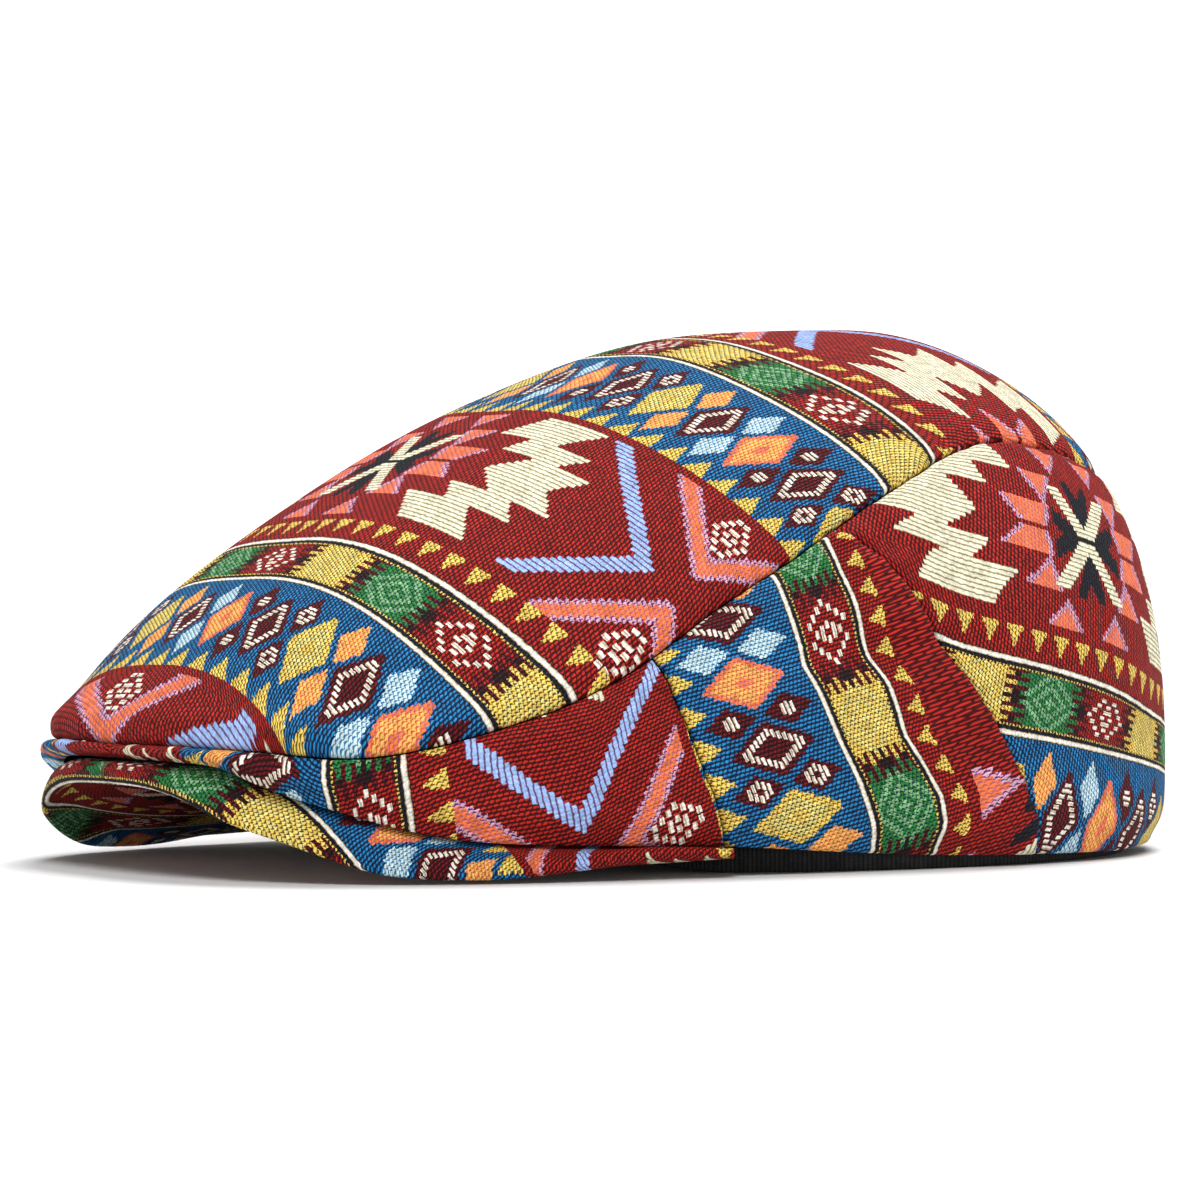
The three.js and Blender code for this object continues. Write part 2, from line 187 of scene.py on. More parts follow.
# Front side panel: bands fan out from the front, upright at first and leaning at the rear seam
FRONT_BANDS = {0: 30.0, 30: 60.0, 52: 79.5, 65.3: 97.5, 82: 117.0, 119: 148.5, 150: 177.0}
FRONT_LEAN = {0: 0.05, 60: 0.1, 82: 0.14, 119: 0.3, 150: 0.47}
FRONT_LEAN_FROM = 12.0
FRONT_ALONG = {
    0: -38.0, 30: -24.0, 45: -12.5, 56: -11.0, 64: -15.2, 72: -13.5, 93.5: -5.2, 119: 0.0,
    127: 4.0, 150: 14.0,
}
FRONT_ALONG_START = 95.5

# Middle side panel: how far round its three lines lie, against the length up
MIDDLE_LINES = {
    "boundary": {0: 155.5, 8.6: 152.0, 24.8: 145.4, 34.8: 140.0, 48.6: 132.3, 60: 125.5, 90: 108.0},
    "line_b": {
        0: 190.8, 4.8: 190.8, 8.6: 190.0, 20.2: 185.0, 28.6: 180.0, 39.4: 174.6, 45.5: 170.8,
        50.2: 170.0, 58.6: 165.8, 70: 160.3, 90: 150.0,
    },
    "line_a": {
        0: 207.5, 4.8: 207.7, 10.1: 208.5, 16.3: 207.0, 23.2: 202.3, 30: 197.0, 34.8: 195.4,
        41: 193.0, 47: 188.8, 51.7: 187.0, 61: 183.8, 69.4: 179.2, 77: 175.4, 90: 168.0,
    },
}
# The field beyond line A passes quickly at first and slowly towards the fold edge
FOLD_FIELD = {"near": 7.0, "quick": 1.18, "high": 0.2, "low": 0.8, "from": 10.0, "fade": 20.0}
MIDDLE_TURN = 14.0
MIDDLE_SCALE = 1.02
MIDDLE_START = -49.7

# Back panel: how far up its two lines lie, against the length round
BACK_LINES = {
    "line_a": {180: 60.0, 200: 54.6, 216: 49.0, 240: 44.0, 262: 39.0, 291: 32.0, 330: 26.0, 373: 23.0},
    "line_b": {180: 42.0, 200: 36.0, 221: 31.0, 240: 28.0, 270: 23.5, 300: 19.0, 330: 15.0, 373: 12.0},
}
BACK_TURN = -17.5
BACK_START = -233.6
BACK_SCALE = 0.975
BACK_STRETCH = {"from": 6.0, "fade": 12.0, "share": 0.2, "start": 22.0}

# Peak: its cloth is laid out flat, and line B is a shallow curve on it
PEAK_LINE_B = -121.3
PEAK_LINE_CURVE = 0.0023
PEAK_STRETCH = 1.3
PEAK_LIP_STRETCH = 1.18
PEAK_ALONG_START = 79.5
PEAK_CORNER = -115.0
PEAK_CORNER_SHARE = 0.5

# The cloth's weave: size of one stitch along and across the bands, and of one dash of the outlines
STITCH_LONG = 195.0 / 198
STITCH_HIGH = 117.0 / 96
STITCH_LEAN = 0.22
DASH_LONG = 1.8
DASH_HIGH = 1.75
DASH_FULLNESS = 0.33
RING_HIGH = 1.35
WEAVE_RELIEF = 0.0003
# How sharply upright stitches, rows and specks round off, and where the gaps' colour begins;
# the gaps' darker colour at the stitches' edges and corners is partly painted shade
UPRIGHT_SIDES = 1.5
UPRIGHT_ENDS = 0.4
ROW_SIDES = 0.7
SPECK_DEPTH = 4.5
GAP_LEVEL = 0.4
GAP_CONTRAST = 2.9
# Waver of the threads, and unevenness of the dye over the cloth and from stitch to stitch
WAVER = {"scale": 0.9, "reach": 0.6}
UNEVEN = {"scale": 0.25, "cloth": 0.5, "stitch": 0.3, "least": 0.56}
# Wrong side of the cloth: loose floats, lighter towards their middles as painted light on their rounded tops,
# and the yarns that show between them
FLOAT = {"sides": 0.8, "ends": 0.3, "show": 0.3, "stitch": 0.3, "least": 0.6}
FLOAT_YARN = {"scale": 0.12, "spread": 6.0, "first": -1.0}
# Black tape: its ribs and threads, and how light it is; it is lighter on the ribs' tops and darker in the
# grooves, as painted shade
TAPE = {
    "rib": 1.3, "thread": 0.7, "rib_sides": 0.8, "thread_sides": 0.5, "relief": 0.4, "light": 0.045,
    "dark": 0.006, "uneven": 0.3,
}

# Yarns: name, colour of the stitches and colour of the gaps between them, as a screen shows them.
# The gap colour is partly the yarns showing between the stitches and partly painted shade in the grooves.
# The first group is woven in short upright stitches, the second in rows and the third is speckled.
GROUND_YARNS = {
    "red": ((0.74, 0.15, 0.11), (0.25, 0.02, 0.03)),
    "blue": ((0.15, 0.52, 0.76), (0.03, 0.12, 0.25)),
    "brown": ((0.20, 0.07, 0.09), (0.07, 0.03, 0.05)),
    "maroon": ((0.45, 0.07, 0.10), (0.13, 0.02, 0.04)),
    "black": ((0.12, 0.13, 0.17), (0.05, 0.05, 0.08)),
}
ROW_YARNS = {
    "cream": ((0.95, 0.92, 0.82), (0.55, 0.52, 0.35)),
    "sky": ((0.64, 0.76, 0.96), (0.40, 0.26, 0.46)),
    "white": ((0.97, 0.95, 0.91), (0.75, 0.68, 0.55)),
}
SPECKLED_YARNS = {
    "lilac": ((0.86, 0.66, 0.76), (0.36, 0.16, 0.36)),
    "mustard": ((0.97, 0.84, 0.40), (0.42, 0.30, 0.14)),
    "amber": ((0.98, 0.74, 0.40), (0.80, 0.36, 0.20)),
    "orange": ((0.98, 0.50, 0.26), (0.72, 0.36, 0.42)),
    "green": ((0.18, 0.50, 0.24), (0.03, 0.16, 0.16)),
    "pale": ((0.82, 0.91, 0.92), (0.20, 0.46, 0.64)),
    "straw": ((0.95, 0.88, 0.52), (0.30, 0.26, 0.12)),
    "leaf": ((0.52, 0.72, 0.50), (0.06, 0.26, 0.26)),
}
YARNS = {**GROUND_YARNS, **ROW_YARNS, **SPECKLED_YARNS}
YARN_NUMBER = {name: number for number, name in enumerate(YARNS)}

# The pattern, in millimetres along and across the bands of the cloth, with the star's repeat first
LIGHTER = {"mustard": "straw", "green": "leaf"}
MEDALLION_REPEAT = 195.0
BLOCK_REPEAT = 65.0

# Star: the middle, a ring of three orange shapes in each quarter, given by their left and right
# edges at both ends, and petals, given by their reach and the start and slope of their two sides
STAR = {"along": -4.0, "across": 34.0}
STAR_SHAPES = (
    {"from": 0.5, "to": 7.0, "left": (15.0, 13.3), "right": (24.0, 30.0)},
    {"from": 6.5, "to": 15.5, "left": (15.0, 10.3), "right": (15.0, 23.2)},
    {"from": 16.5, "to": 24.2, "left": (9.0, 2.8), "right": (9.0, 16.6)},
)
STAR_BORDER = 1.7
SIDE_PETAL = {"reach": 12.6, "upper": (0.4, 0.5), "lower": (-7.6, 0.8)}
END_PETAL = {"reach": 15.0, "upper": (0.4, 0.34), "lower": (-9.2, 0.8)}
CREAM_PETAL = {"along": 0.778, "across": 0.628, "half_wide": 2.0, "from": 1.0, "to": 13.4}

# Stepped cream figure: start and slope of its edges, against the distance off its middle
CREAM_FIGURE = {
    "middle": 34.5, "half_high": 23.0,
    "left": {0: (35.5, 1.15), 7: (27.1, 0.7), 13.4: (13.6, 0.8)},
    "right": {0: (55.5, 0.95), 7: (44.0, 0.95), 13.4: (33.0, 0.85)},
}
# Chevrons: the sky-blue one, and the lilac and orange ones, which are open in their middle
CHEVRONS = {
    "sky": {"middle": 31.5, "tip": 86.7, "slope": 1.1, "half_wide": 2.9, "from": 11.0, "open": -1.0},
    "lilac": {"middle": 33.0, "tip": 105.0, "slope": 1.05, "half_wide": 3.9, "from": 8.0, "open": 4.0},
    "orange": {"middle": 33.0, "tip": 105.0, "slope": 1.05, "half_wide": 2.3, "from": 8.0, "open": 4.0},
}
CHEVRON_END = 58.0
FIELD_RINGS = {"across": (51.5, 13.0), "outer": (4.6, 7.0), "inner": (1.3, 3.4)}

# Blue band: rows of four lozenges in turn, the second row on both sides of the band's middle. A part
# has the lozenge's number, two shares of the way from its middle to its edge, and its yarn.
BLUE_MIDDLE = 79.5
LOZENGE_PITCH = BLOCK_REPEAT / 4
LOZENGE_ROWS = (
    {
        "start": 11.0, "off_middle": 0.0, "long": 6.6, "high": 12.2,
        "parts": (
            (0, -1, 1, "amber"), (0, 0.8, 1, "orange"), (0, -1, 0.25, "orange"), (1, -1, 1, "maroon"),
            (2, -1, 1, "mustard"), (2, 0.3, 0.7, "straw"), (3, -1, 1, "maroon"),
        ),
        "rings": {1: (4.0, 8.4), 3: (4.0, 8.4)},
    },
    {
        "start": 19.3, "off_middle": 8.0, "long": 3.9, "high": 7.2,
        "parts": ((0, -1, 1, "maroon"), (1, -1, 1, "maroon"), (2, -1, 1, "amber"), (3, -1, 1, "pale")),
        "rings": {0: (0.8, 2.6), 1: (1.7, 3.6)},
    },
)

# Motif band: blocks, the reach of their comb-like ends, stripes between them, and rings in them
MOTIF_MIDDLE = 107.2
BLOCKS = {"mustard": 27.0, "green": 48.6, "red": 70.2}
BLOCK_HALF_HIGH = 7.9
COMB = {0: 7.4, 0.7: 9.6, 1.9: 7.4, 3.2: 10.9, 4.5: 7.0, 5.8: 9.8, 6.9: 7.6}
STRIPES = ((1.3, 2.6), (4.2, 5.4), (6.6, 9.4))
BLOCK_RING_SIZE = 8.4
BLOCK_RINGS = ((0.0, 0.2), (0.42, 0.66), (0.88, 1.12))
RED_RINGS = {"outer": (7.2, 7.8), "inner": (1.8, 3.6), "half_high": 6.1}

# Rows of small triangles beside the bands
TRIANGLE_ROWS = (
    {"from": 2.6, "to": 8.0, "pitch": 7.4, "start": -0.2, "lean": 0.0, "slope": 0.5, "base": -1.35},
    {"from": 60.0, "to": 66.8, "pitch": 8.2, "start": -10.0, "lean": -0.15, "slope": -0.5, "base": 33.4},
)
CORD = {"half_wide": 0.66, "dark_from": -2.3, "dark_to": 0.9, "dots_to": -1.7, "dot_from": 0.45}

# The photograph's camera, and where the origin of the frame lies in its pixels
PHOTO_SIDE = 1200
CAMERA_AZIMUTH = 56.0
CAMERA_ELEVATION = 3.4
CAMERA_DISTANCE = 1100.0
PIXELS_PER_MM = 4.288
PHOTO_ORIGIN = (615.7, 853.0)
SENSOR = 36.0

# Studio, in metres: floor, backdrop and light
FLOOR_REACH = 8.0
FLOOR_SHADE = 0.7
BACKDROP_REACH = 6.0
BACKDROP_FOOT = -0.01
BACKDROP_HEIGHT = 1.4
BACKDROP_SEGMENTS = 96
BACKDROP_GLOW = 1.6
SKY_LIGHT = 0.2
KEY_LIGHT = {"azimuth": 205, "elevation": 66, "spread": 28, "strength": 3.1}
FILL_LIGHT = {"azimuth": 60, "elevation": 52, "spread": 30, "strength": 2.2}


def read_table(table, key):
    """Smooth curve through a table's rows, read at one value or at an array of them."""
    keys = np.array(list(table), float)
    values = np.array(list(table.values()), float)
    last = len(keys) - 1
    at = np.clip(np.asarray(key, float), keys[0], keys[-1])
    i = np.clip(np.searchsorted(keys, at) - 1, 0, last - 1)
    before = np.maximum(np.arange(last + 1) - 1, 0)
    after = np.minimum(np.arange(last + 1) + 1, last)
    slope = (values[after] - values[before]) / (keys[after] - keys[before])
    step = keys[i + 1] - keys[i]
    t = (at - keys[i]) / step
    start = 2 * t**3 - 3 * t**2 + 1
    bent = (t**3 - 2 * t**2 + t) * slope[i] + (t**3 - t**2) * slope[i + 1]
    return start * values[i] + (1 - start) * values[i + 1] + step * bent


def mix(start, end, share):
    return start + (end - start) * share


def bell(distance, spread):
    return np.exp(-((distance / spread) ** 2))


def oval_reach(angle, front, back, half_width, squareness):
    """Distance from the axis to a superelliptic oval."""
    forward = np.cos(angle * DEGREE)
    across = np.abs(np.sin(angle * DEGREE)) / half_width
    along = np.abs(forward) / np.where(forward > 0, front, back)
    return 1 / (across**squareness + along**squareness) ** (1 / squareness)


def crown_reach(angle):
    squareness = np.where(np.cos(angle * DEGREE) > 0, FRONT_SQUARENESS, BACK_SQUARENESS)
    return oval_reach(angle, FRONT_REACH, BACK_REACH, HALF_WIDTH, squareness)


def band_reach(angle):
    return oval_reach(angle, BAND_FRONT_REACH, BAND_BACK_REACH, BAND_HALF_WIDTH, BAND_SQUARENESS)


def meridian(angle, name):
    forward = np.cos(angle * DEGREE)
    front = np.maximum(forward, 0) ** 1.5
    back = np.maximum(-forward, 0) ** 1.5
    side = 1 - front - back
    values = [MERIDIANS[place_name][name] for place_name in ("front", "side", "back")]
    return front * values[0] + side * values[1] + back * values[2]


def place(angle, radius, height):
    x = radius * np.sin(angle * DEGREE)
    y = AXIS_Y - radius * np.cos(angle * DEGREE)
    return np.stack(np.broadcast_arrays(x, y, height), -1)


def dome_share(angle, rise):
    """Share of the crown's reach that the dome still has at a rise."""
    apex = np.sin(rise * DEGREE) ** APEX_BLEND
    plan = mix(meridian(angle, "plan"), APEX_FULLNESS, apex)
    return np.maximum(np.cos(rise * DEGREE), 0) ** (2 / plan)


def dome_point(angle, rise):
    """Point of the smooth dome; the rise is 0 at the widest height and 90 at the apex."""
    sine = np.sin(rise * DEGREE)
    dome = mix(meridian(angle, "dome"), APEX_FULLNESS, sine**APEX_BLEND)
    belly = meridian(angle, "belly")
    share = dome_share(angle, rise)
    point = place(angle, crown_reach(angle) * share, belly + (HEIGHT - belly) * sine ** (2 / dome))
    point[..., 1] += APEX_SHIFT * (1 - share)
    return point


def bisect(is_below, low, high, shape):
    """Where a rising condition turns, for an array of cases at once."""
    low, high = np.full(shape, float(low)), np.full(shape, float(high))
    for _ in range(40):
        middle = (low + high) / 2
        below = is_below(middle)
        low = np.where(below, middle, low)
        high = np.where(below, high, middle)
    return (low + high) / 2


def rise_at(angle, height):
    shape = np.broadcast(angle, height).shape
    return bisect(lambda rise: dome_point(angle, rise)[..., 2] < height, 0, 90, shape)


def base_point(angle, height):
    """Point of the smooth crown at a height: a wall below the widest height, the dome above it."""
    angle, height = np.broadcast_arrays(np.asarray(angle, float), np.asarray(height, float))
    wall = place(angle, crown_reach(angle), height)
    dome = dome_point(angle, rise_at(angle, height))
    return np.where((height <= meridian(angle, "belly"))[..., None], wall, dome)


def unit(vectors):
    return vectors / np.maximum(np.linalg.norm(vectors, axis=-1, keepdims=True), 1e-9)


def outward_at(surface, angle, second, step=0.3):
    """Outward direction of a smooth surface, from a small step along each of its two directions."""
    round_the_crown = surface(angle + step, second) - surface(angle - step, second)
    up = surface(angle, second + step) - surface(angle, second - step)
    return unit(np.cross(round_the_crown, up))


def seam_height(angle):
    return read_table(TOP_SEAM, np.abs(angle))


def hem_height(angle):
    return read_table(HEM, np.abs(angle))


def flare(angle, height):
    """How far the front corner stands out of the smooth dome."""
    above = np.maximum(height - seam_height(angle), 0)
    return FLARE["crown"] * bell(np.abs(angle) - FLARE["angle"], FLARE["spread"]) * bell(above, FLARE["fade"])


def pulled_in(angle, height):
    """How far the side cloth stands inside the smooth dome, from its edges and dents."""
    hem = hem_height(angle)
    seam = seam_height(angle)
    hem_spread = np.minimum(HEM_PULL_HEIGHT, HEM_PULL_SHARE * (seam - hem))
    seam_spread = np.minimum(SEAM_PULL_HEIGHT, SEAM_PULL_SHARE * (seam - hem))
    inward = read_table(HEM_PULL, angle) * bell(height - hem, hem_spread)
    inward = inward + read_table(SEAM_PULL, angle) * bell(height - seam, seam_spread)
    for dent in DENTS:
        fade = bell(angle - dent["angle"], dent["wide"]) * bell(height - dent["height"], dent["high"])
        inward = inward + dent["depth"] * fade
    return inward - flare(angle, height)


def edge_roll(distance):
    """How far the cloth turns in at a sewn edge, at a distance from it."""
    short = 1 - np.clip(distance / EDGE_ROLL, 0, 1)
    return EDGE_ROLL * (1 - np.sqrt(np.maximum(1 - short**2, 0)))


def puckers(along, distance, seed):
    """Small waves where the thread gathers the cloth, fading away from the seam."""
    turn = 2 * math.pi * along / PUCKER_PITCH
    wave = sum(row["size"] * np.sin(row["turns"] * turn + row["seed"] * seed) for row in PUCKER_WAVES)
    return PUCKER_DEPTH * wave * np.exp(-distance / PUCKER_REACH)


def sag(points):
    """Slow unevenness of the standing cloth."""
    long, cross, short = (points @ np.array(wave) for wave in (SAG_LONG, SAG_CROSS, SAG_SHORT))
    return SAG_DEPTH * (np.sin(long) * np.cos(cross) + SAG_SHORT_SHARE * np.sin(short))


def spaced(count, edge_share=0.012):
    """Shares from 0 to 1, with extra rows just inside both ends for the rolled edges."""
    ends = np.array(EDGE_ROWS) * edge_share
    middle = np.linspace(edge_share, 1 - edge_share, count - 6)[1:-1]
    return np.concatenate([ends, middle, 1 - ends[::-1]])


def arc_lengths(points, axis):
    """Length along a grid's lines from their first point."""
    steps = np.linalg.norm(np.diff(points, axis=axis), axis=-1)
    lengths = np.cumsum(steps, axis=axis)
    first = np.zeros_like(np.take(lengths, [0], axis=axis))
    return np.concatenate([first, lengths], axis=axis)


def edge_distances(points):
    """Distance of each grid point from the grid's start, end, bottom and top edges."""
    across = arc_lengths(points, 0)
    up = arc_lengths(points, 1)
    return across, across[-1:] - across, up, up[:, -1:] - up


# Place of the cloth's pattern on the top panel


def top_bend(x, y):
    """How far a curve across the panel bends back at a point of the plan."""
    wide, along = np.abs(x) / TOP_BEND["wide"], y / TOP_BEND["long"]
    middle, ends = (
        np.polynomial.polynomial.polyval(along, TOP_BEND[part]) for part in ("middle", "ends")
    )
    return middle * wide**2 + ends * wide**6


def top_height(x, y):
    """Height of the smooth dome over a point of the plan."""
    def polar(share):
        forward = AXIS_Y + APEX_SHIFT * (1 - share) - y
        return np.hypot(x, forward), np.degrees(np.arctan2(x, forward))

    def outside(share):
        radius, angle = polar(share)
        return radius / crown_reach(angle) > share

    share = bisect(outside, 0, 1, x.shape)
    angle = polar(share)[1]
    rise = bisect(lambda middle: dome_share(angle, middle) > share, 0, 90, x.shape)
    return dome_point(angle, rise)[..., 2]


def top_cloth_map():
    """Length along the bands for a grid of starting places and distances to the side."""
    step = TOP_MAP["step"]
    starts = np.arange(TOP_MAP["from"], TOP_MAP["to"], step)[:, None]
    sides = np.arange(0.0, TOP_MAP["side"], step)[None, :]
    y = starts + 0 * sides
    for _ in range(TOP_MAP["rounds"]):
        y = mix(y, starts + top_bend(sides, y), 0.5)
    x = sides + 0 * starts
    points = np.stack([x, y, top_height(x, y)], -1)
    return starts[:, 0], sides[0], arc_lengths(points, 1)


def read_grid(rows, columns, values, row, column):
    """Bilinear reading of an evenly spaced grid."""
    i = np.clip((row - rows[0]) / (rows[1] - rows[0]), 0, len(rows) - 1.001)
    j = np.clip((column - columns[0]) / (columns[1] - columns[0]), 0, len(columns) - 1.001)
    i0, j0 = i.astype(int), j.astype(int)
    fi, fj = i - i0, j - j0
    low = mix(values[i0, j0], values[i0, j0 + 1], fj)
    high = mix(values[i0 + 1, j0], values[i0 + 1, j0 + 1], fj)
    return mix(low, high, fi)


def top_cloth(points):
    """Place on the cloth, along and across its bands, of points on the top panel."""
    x, y = points[..., 0], points[..., 1]
    start = y - top_bend(x, y)
    starts, sides, lengths = top_cloth_map()
    along = np.sign(x) * read_grid(starts, sides, lengths, start, np.abs(x))
    across = read_table(TOP_BANDS, start)
    along = along * read_table(TOP_STRETCH, across) + read_table(TOP_SHIFT, across)
    return np.stack([along, across], -1)


# Place of the cloth's pattern on the side panels and the peak. Round is the length round the crown's
# widest outline from the centre front, and up is the length up the crown's side from the floor.


def outline_arc(angle):
    """Length round the crown's widest outline from the centre front."""
    fine = np.linspace(0, 180, 721)
    outline = place(fine, crown_reach(fine), 0 * fine)
    return np.interp(angle, fine, arc_lengths(outline, 0))


def meridian_arc(angle, height):
    """Length up the crown's side from the floor, read off a grid."""
    angles = np.arange(0.0, 182.0, 2.0)
    heights = np.arange(0.0, 104.0, 2.0)
    points = base_point(angles[:, None], heights[None, :])
    return read_grid(angles, heights, arc_lengths(points, 1), angle, height)


def front_cloth(around, up):
    lean = read_table(FRONT_LEAN, around)
    foot = around + lean * (up - FRONT_LEAN_FROM)
    across = np.interp(foot, list(FRONT_BANDS), list(FRONT_BANDS.values()))
    across = across + np.maximum(foot - max(FRONT_BANDS), 0) - BAND_REPEAT
    along = FRONT_ALONG_START - up + read_table(FRONT_ALONG, around)
    return np.stack([along, across], -1)


def middle_cloth(around, up):
    boundary, line_b, line_a = (
        np.interp(up, list(line), list(line.values())) for line in MIDDLE_LINES.values()
    )
    blue = FIELD_WIDE + (LINE_B - FIELD_WIDE) * (around - boundary) / (line_b - boundary)
    motif = LINE_B + (BAND_REPEAT - LINE_B) * (around - line_b) / (line_a - line_b)
    beyond = around - line_a
    height = np.clip((up - FOLD_FIELD["from"]) / FOLD_FIELD["fade"], 0, 1)
    slow = mix(FOLD_FIELD["low"], FOLD_FIELD["high"], height)
    near_a = np.minimum(beyond, FOLD_FIELD["near"])
    field = BAND_REPEAT + FOLD_FIELD["quick"] * near_a + slow * (beyond - near_a)
    across = np.where(around < line_b, blue, np.where(around < line_a, motif, field)) - BAND_REPEAT
    turn = MIDDLE_TURN * DEGREE
    along = MIDDLE_SCALE * (around * math.sin(turn) - up * math.cos(turn) + MIDDLE_START)
    return np.stack([along, across], -1)


def back_cloth(around, up):
    line_a, line_b = (read_table(line, around) for line in BACK_LINES.values())
    motif = BAND_REPEAT + (BAND_REPEAT - LINE_B) * (up - line_a) / (line_a - line_b)
    field = BAND_REPEAT + (up - line_a) * BACK_SCALE
    blue = LINE_B + (up - line_b) / BACK_SCALE
    across = np.where(up > line_a, field, np.where(up > line_b, motif, blue)) - BAND_REPEAT
    turn = BACK_TURN * DEGREE
    along = around * math.cos(turn) + up * math.sin(turn) + BACK_START
    stretched = np.clip((across - BACK_STRETCH["from"]) / BACK_STRETCH["fade"], 0, 1)
    along = along + BACK_STRETCH["share"] * stretched * np.maximum(-BACK_STRETCH["start"] - along, 0)
    return np.stack([along, across], -1)


SIDE_CLOTH = {"side_front": front_cloth, "side_mid": middle_cloth, "back": back_cloth}


def peak_cloth(flat):
    """Place on the cloth of points of the peak's flat outline."""
    x, y = flat[..., 0], flat[..., 1]
    ahead = PEAK_LINE_B + PEAK_LINE_CURVE * x**2 - y
    across = BAND_REPEAT + LINE_B + np.where(ahead < 0, PEAK_STRETCH, PEAK_LIP_STRETCH) * ahead
    along = PEAK_ALONG_START - np.abs(x) - PEAK_CORNER_SHARE * np.maximum(y - PEAK_CORNER, 0)
    return np.stack([along * np.where(x < 0, -1, 1), across], -1)


# Meshes

def mesh_object(name, points, faces, cloth, material_of_face):
    """A piece from points and quads, with its place on the cloth kept as a UV map."""
    mesh = bpy.data.meshes.new(name)
    mesh.from_pydata((points * METRE).tolist(), [], faces)
    mesh.polygons.foreach_set("material_index", material_of_face)
    layer = mesh.uv_layers.new(name="fabric")
    corners = np.zeros(len(mesh.loops), np.int32)
    mesh.loops.foreach_get("vertex_index", corners)
    layer.data.foreach_set("uv", (cloth[corners] / CLOTH_UNIT).ravel().astype(np.float32))
    mesh.shade_smooth()
    mesh.set_sharp_from_angle(angle=math.radians(SHARP_ANGLE))
    mesh.validate()
    piece = bpy.data.objects.new(name, mesh)
    bpy.context.scene.collection.objects.link(piece)
    return piece


def grid_faces(columns, rows, closed, offset, flipped):
    """Quads of a grid of points, column by column."""
    i = np.arange(columns if closed else columns - 1)[:, None]
    j = np.arange(rows - 1)[None, :]
    following = (i + 1) % columns
    a, b = i * rows + j, following * rows + j
    c, d = following * rows + j + 1, i * rows + j + 1
    order = [a, d, c, b] if flipped else [a, b, c, d]
    return (np.stack(order, -1).reshape(-1, 4) + offset).tolist()


def strip_faces(first, second):
    """Quads between two lines of points of the same length."""
    return np.stack([first[:-1], second[:-1], second[1:], first[1:]], -1).tolist()


def shell_piece(name, outer, inner, cloth, inner_cloth=None, mirror=False):
    """A closed sheet of cloth between two grids of points, with walls round its four edges."""
    columns, rows = outer.shape[:2]
    layer = columns * rows
    points = np.concatenate([outer.reshape(-1, 3), inner.reshape(-1, 3)])
    faces = grid_faces(columns, rows, False, 0, False)
    face_count = len(faces)
    faces += grid_faces(columns, rows, False, layer, True)
    index = np.arange(layer).reshape(columns, rows)
    for edge in (index[::-1, 0], index[-1, ::-1], index[:, -1], index[0]):
        faces += strip_faces(edge, edge + layer)
    materials = np.zeros(len(faces), np.int32)
    if inner_cloth is None:
        inner_cloth = cloth
        materials[face_count : 2 * face_count] = 1
    uv = np.concatenate([cloth.reshape(-1, 2), inner_cloth.reshape(-1, 2)])
    if mirror:
        points = points * np.array([-1, 1, 1])
        uv = uv * np.array([-1, 1])
        faces = [face[::-1] for face in faces]
    return mesh_object(name, points, faces, uv, materials)


def all_round(columns):
    """Angles of a closed ring, from the back over the right side and the front."""
    return (np.arange(columns) * 360 / columns - 180)[:, None]


def cloth_layers(base, outward, stand, from_edge):
    """Outer and inner face of a panel, with its edges rolled in."""
    outer = base + outward * (stand - edge_roll(from_edge))[..., None]
    return outer, base + outward * (stand - CLOTH)[..., None]


def side_shell(panel, form, seed):
    """Left-hand side panel between two seams, and the right-hand one, which is its mirror image."""
    across = spaced(form["columns"])[:, None]
    up = spaced(form["rows"], 0.02)[None, :]
    start, end = (read_table(form[side], up) for side in ("from", "to"))
    start = start + SEAM_GAP / 2 / crown_reach(start) / DEGREE
    end = end - SEAM_GAP / 2 / crown_reach(end) / DEGREE
    angle = mix(start, end, across)
    height = mix(hem_height(angle), seam_height(angle) - SEAM_GAP / 2, up)
    base = base_point(angle, height)
    outward = outward_at(base_point, angle, height)
    from_start, from_end, from_hem, from_seam = edge_distances(base)
    from_edge = np.minimum(np.minimum(from_start, from_end), np.minimum(from_hem, from_seam))
    stand = form["lift"] * bell(1 - across, FOLD_WIDTH_SHARE) - pulled_in(angle, height)
    stand = stand + sag(base) * np.minimum(from_edge / SAG_FADE, 1)
    stand = stand + puckers(from_start, from_seam, seed) + puckers(from_hem, from_start, seed + 1)
    stand = stand + puckers(from_hem, from_end, seed + 2)
    outer, inner = cloth_layers(base, outward, stand, from_edge)
    cloth = SIDE_CLOTH[panel](outline_arc(angle), meridian_arc(angle, height))
    return [
        shell_piece(f"{panel}_cloth_{side}", outer, inner, cloth, mirror=side == "right")
        for side in ("left", "right")
    ]


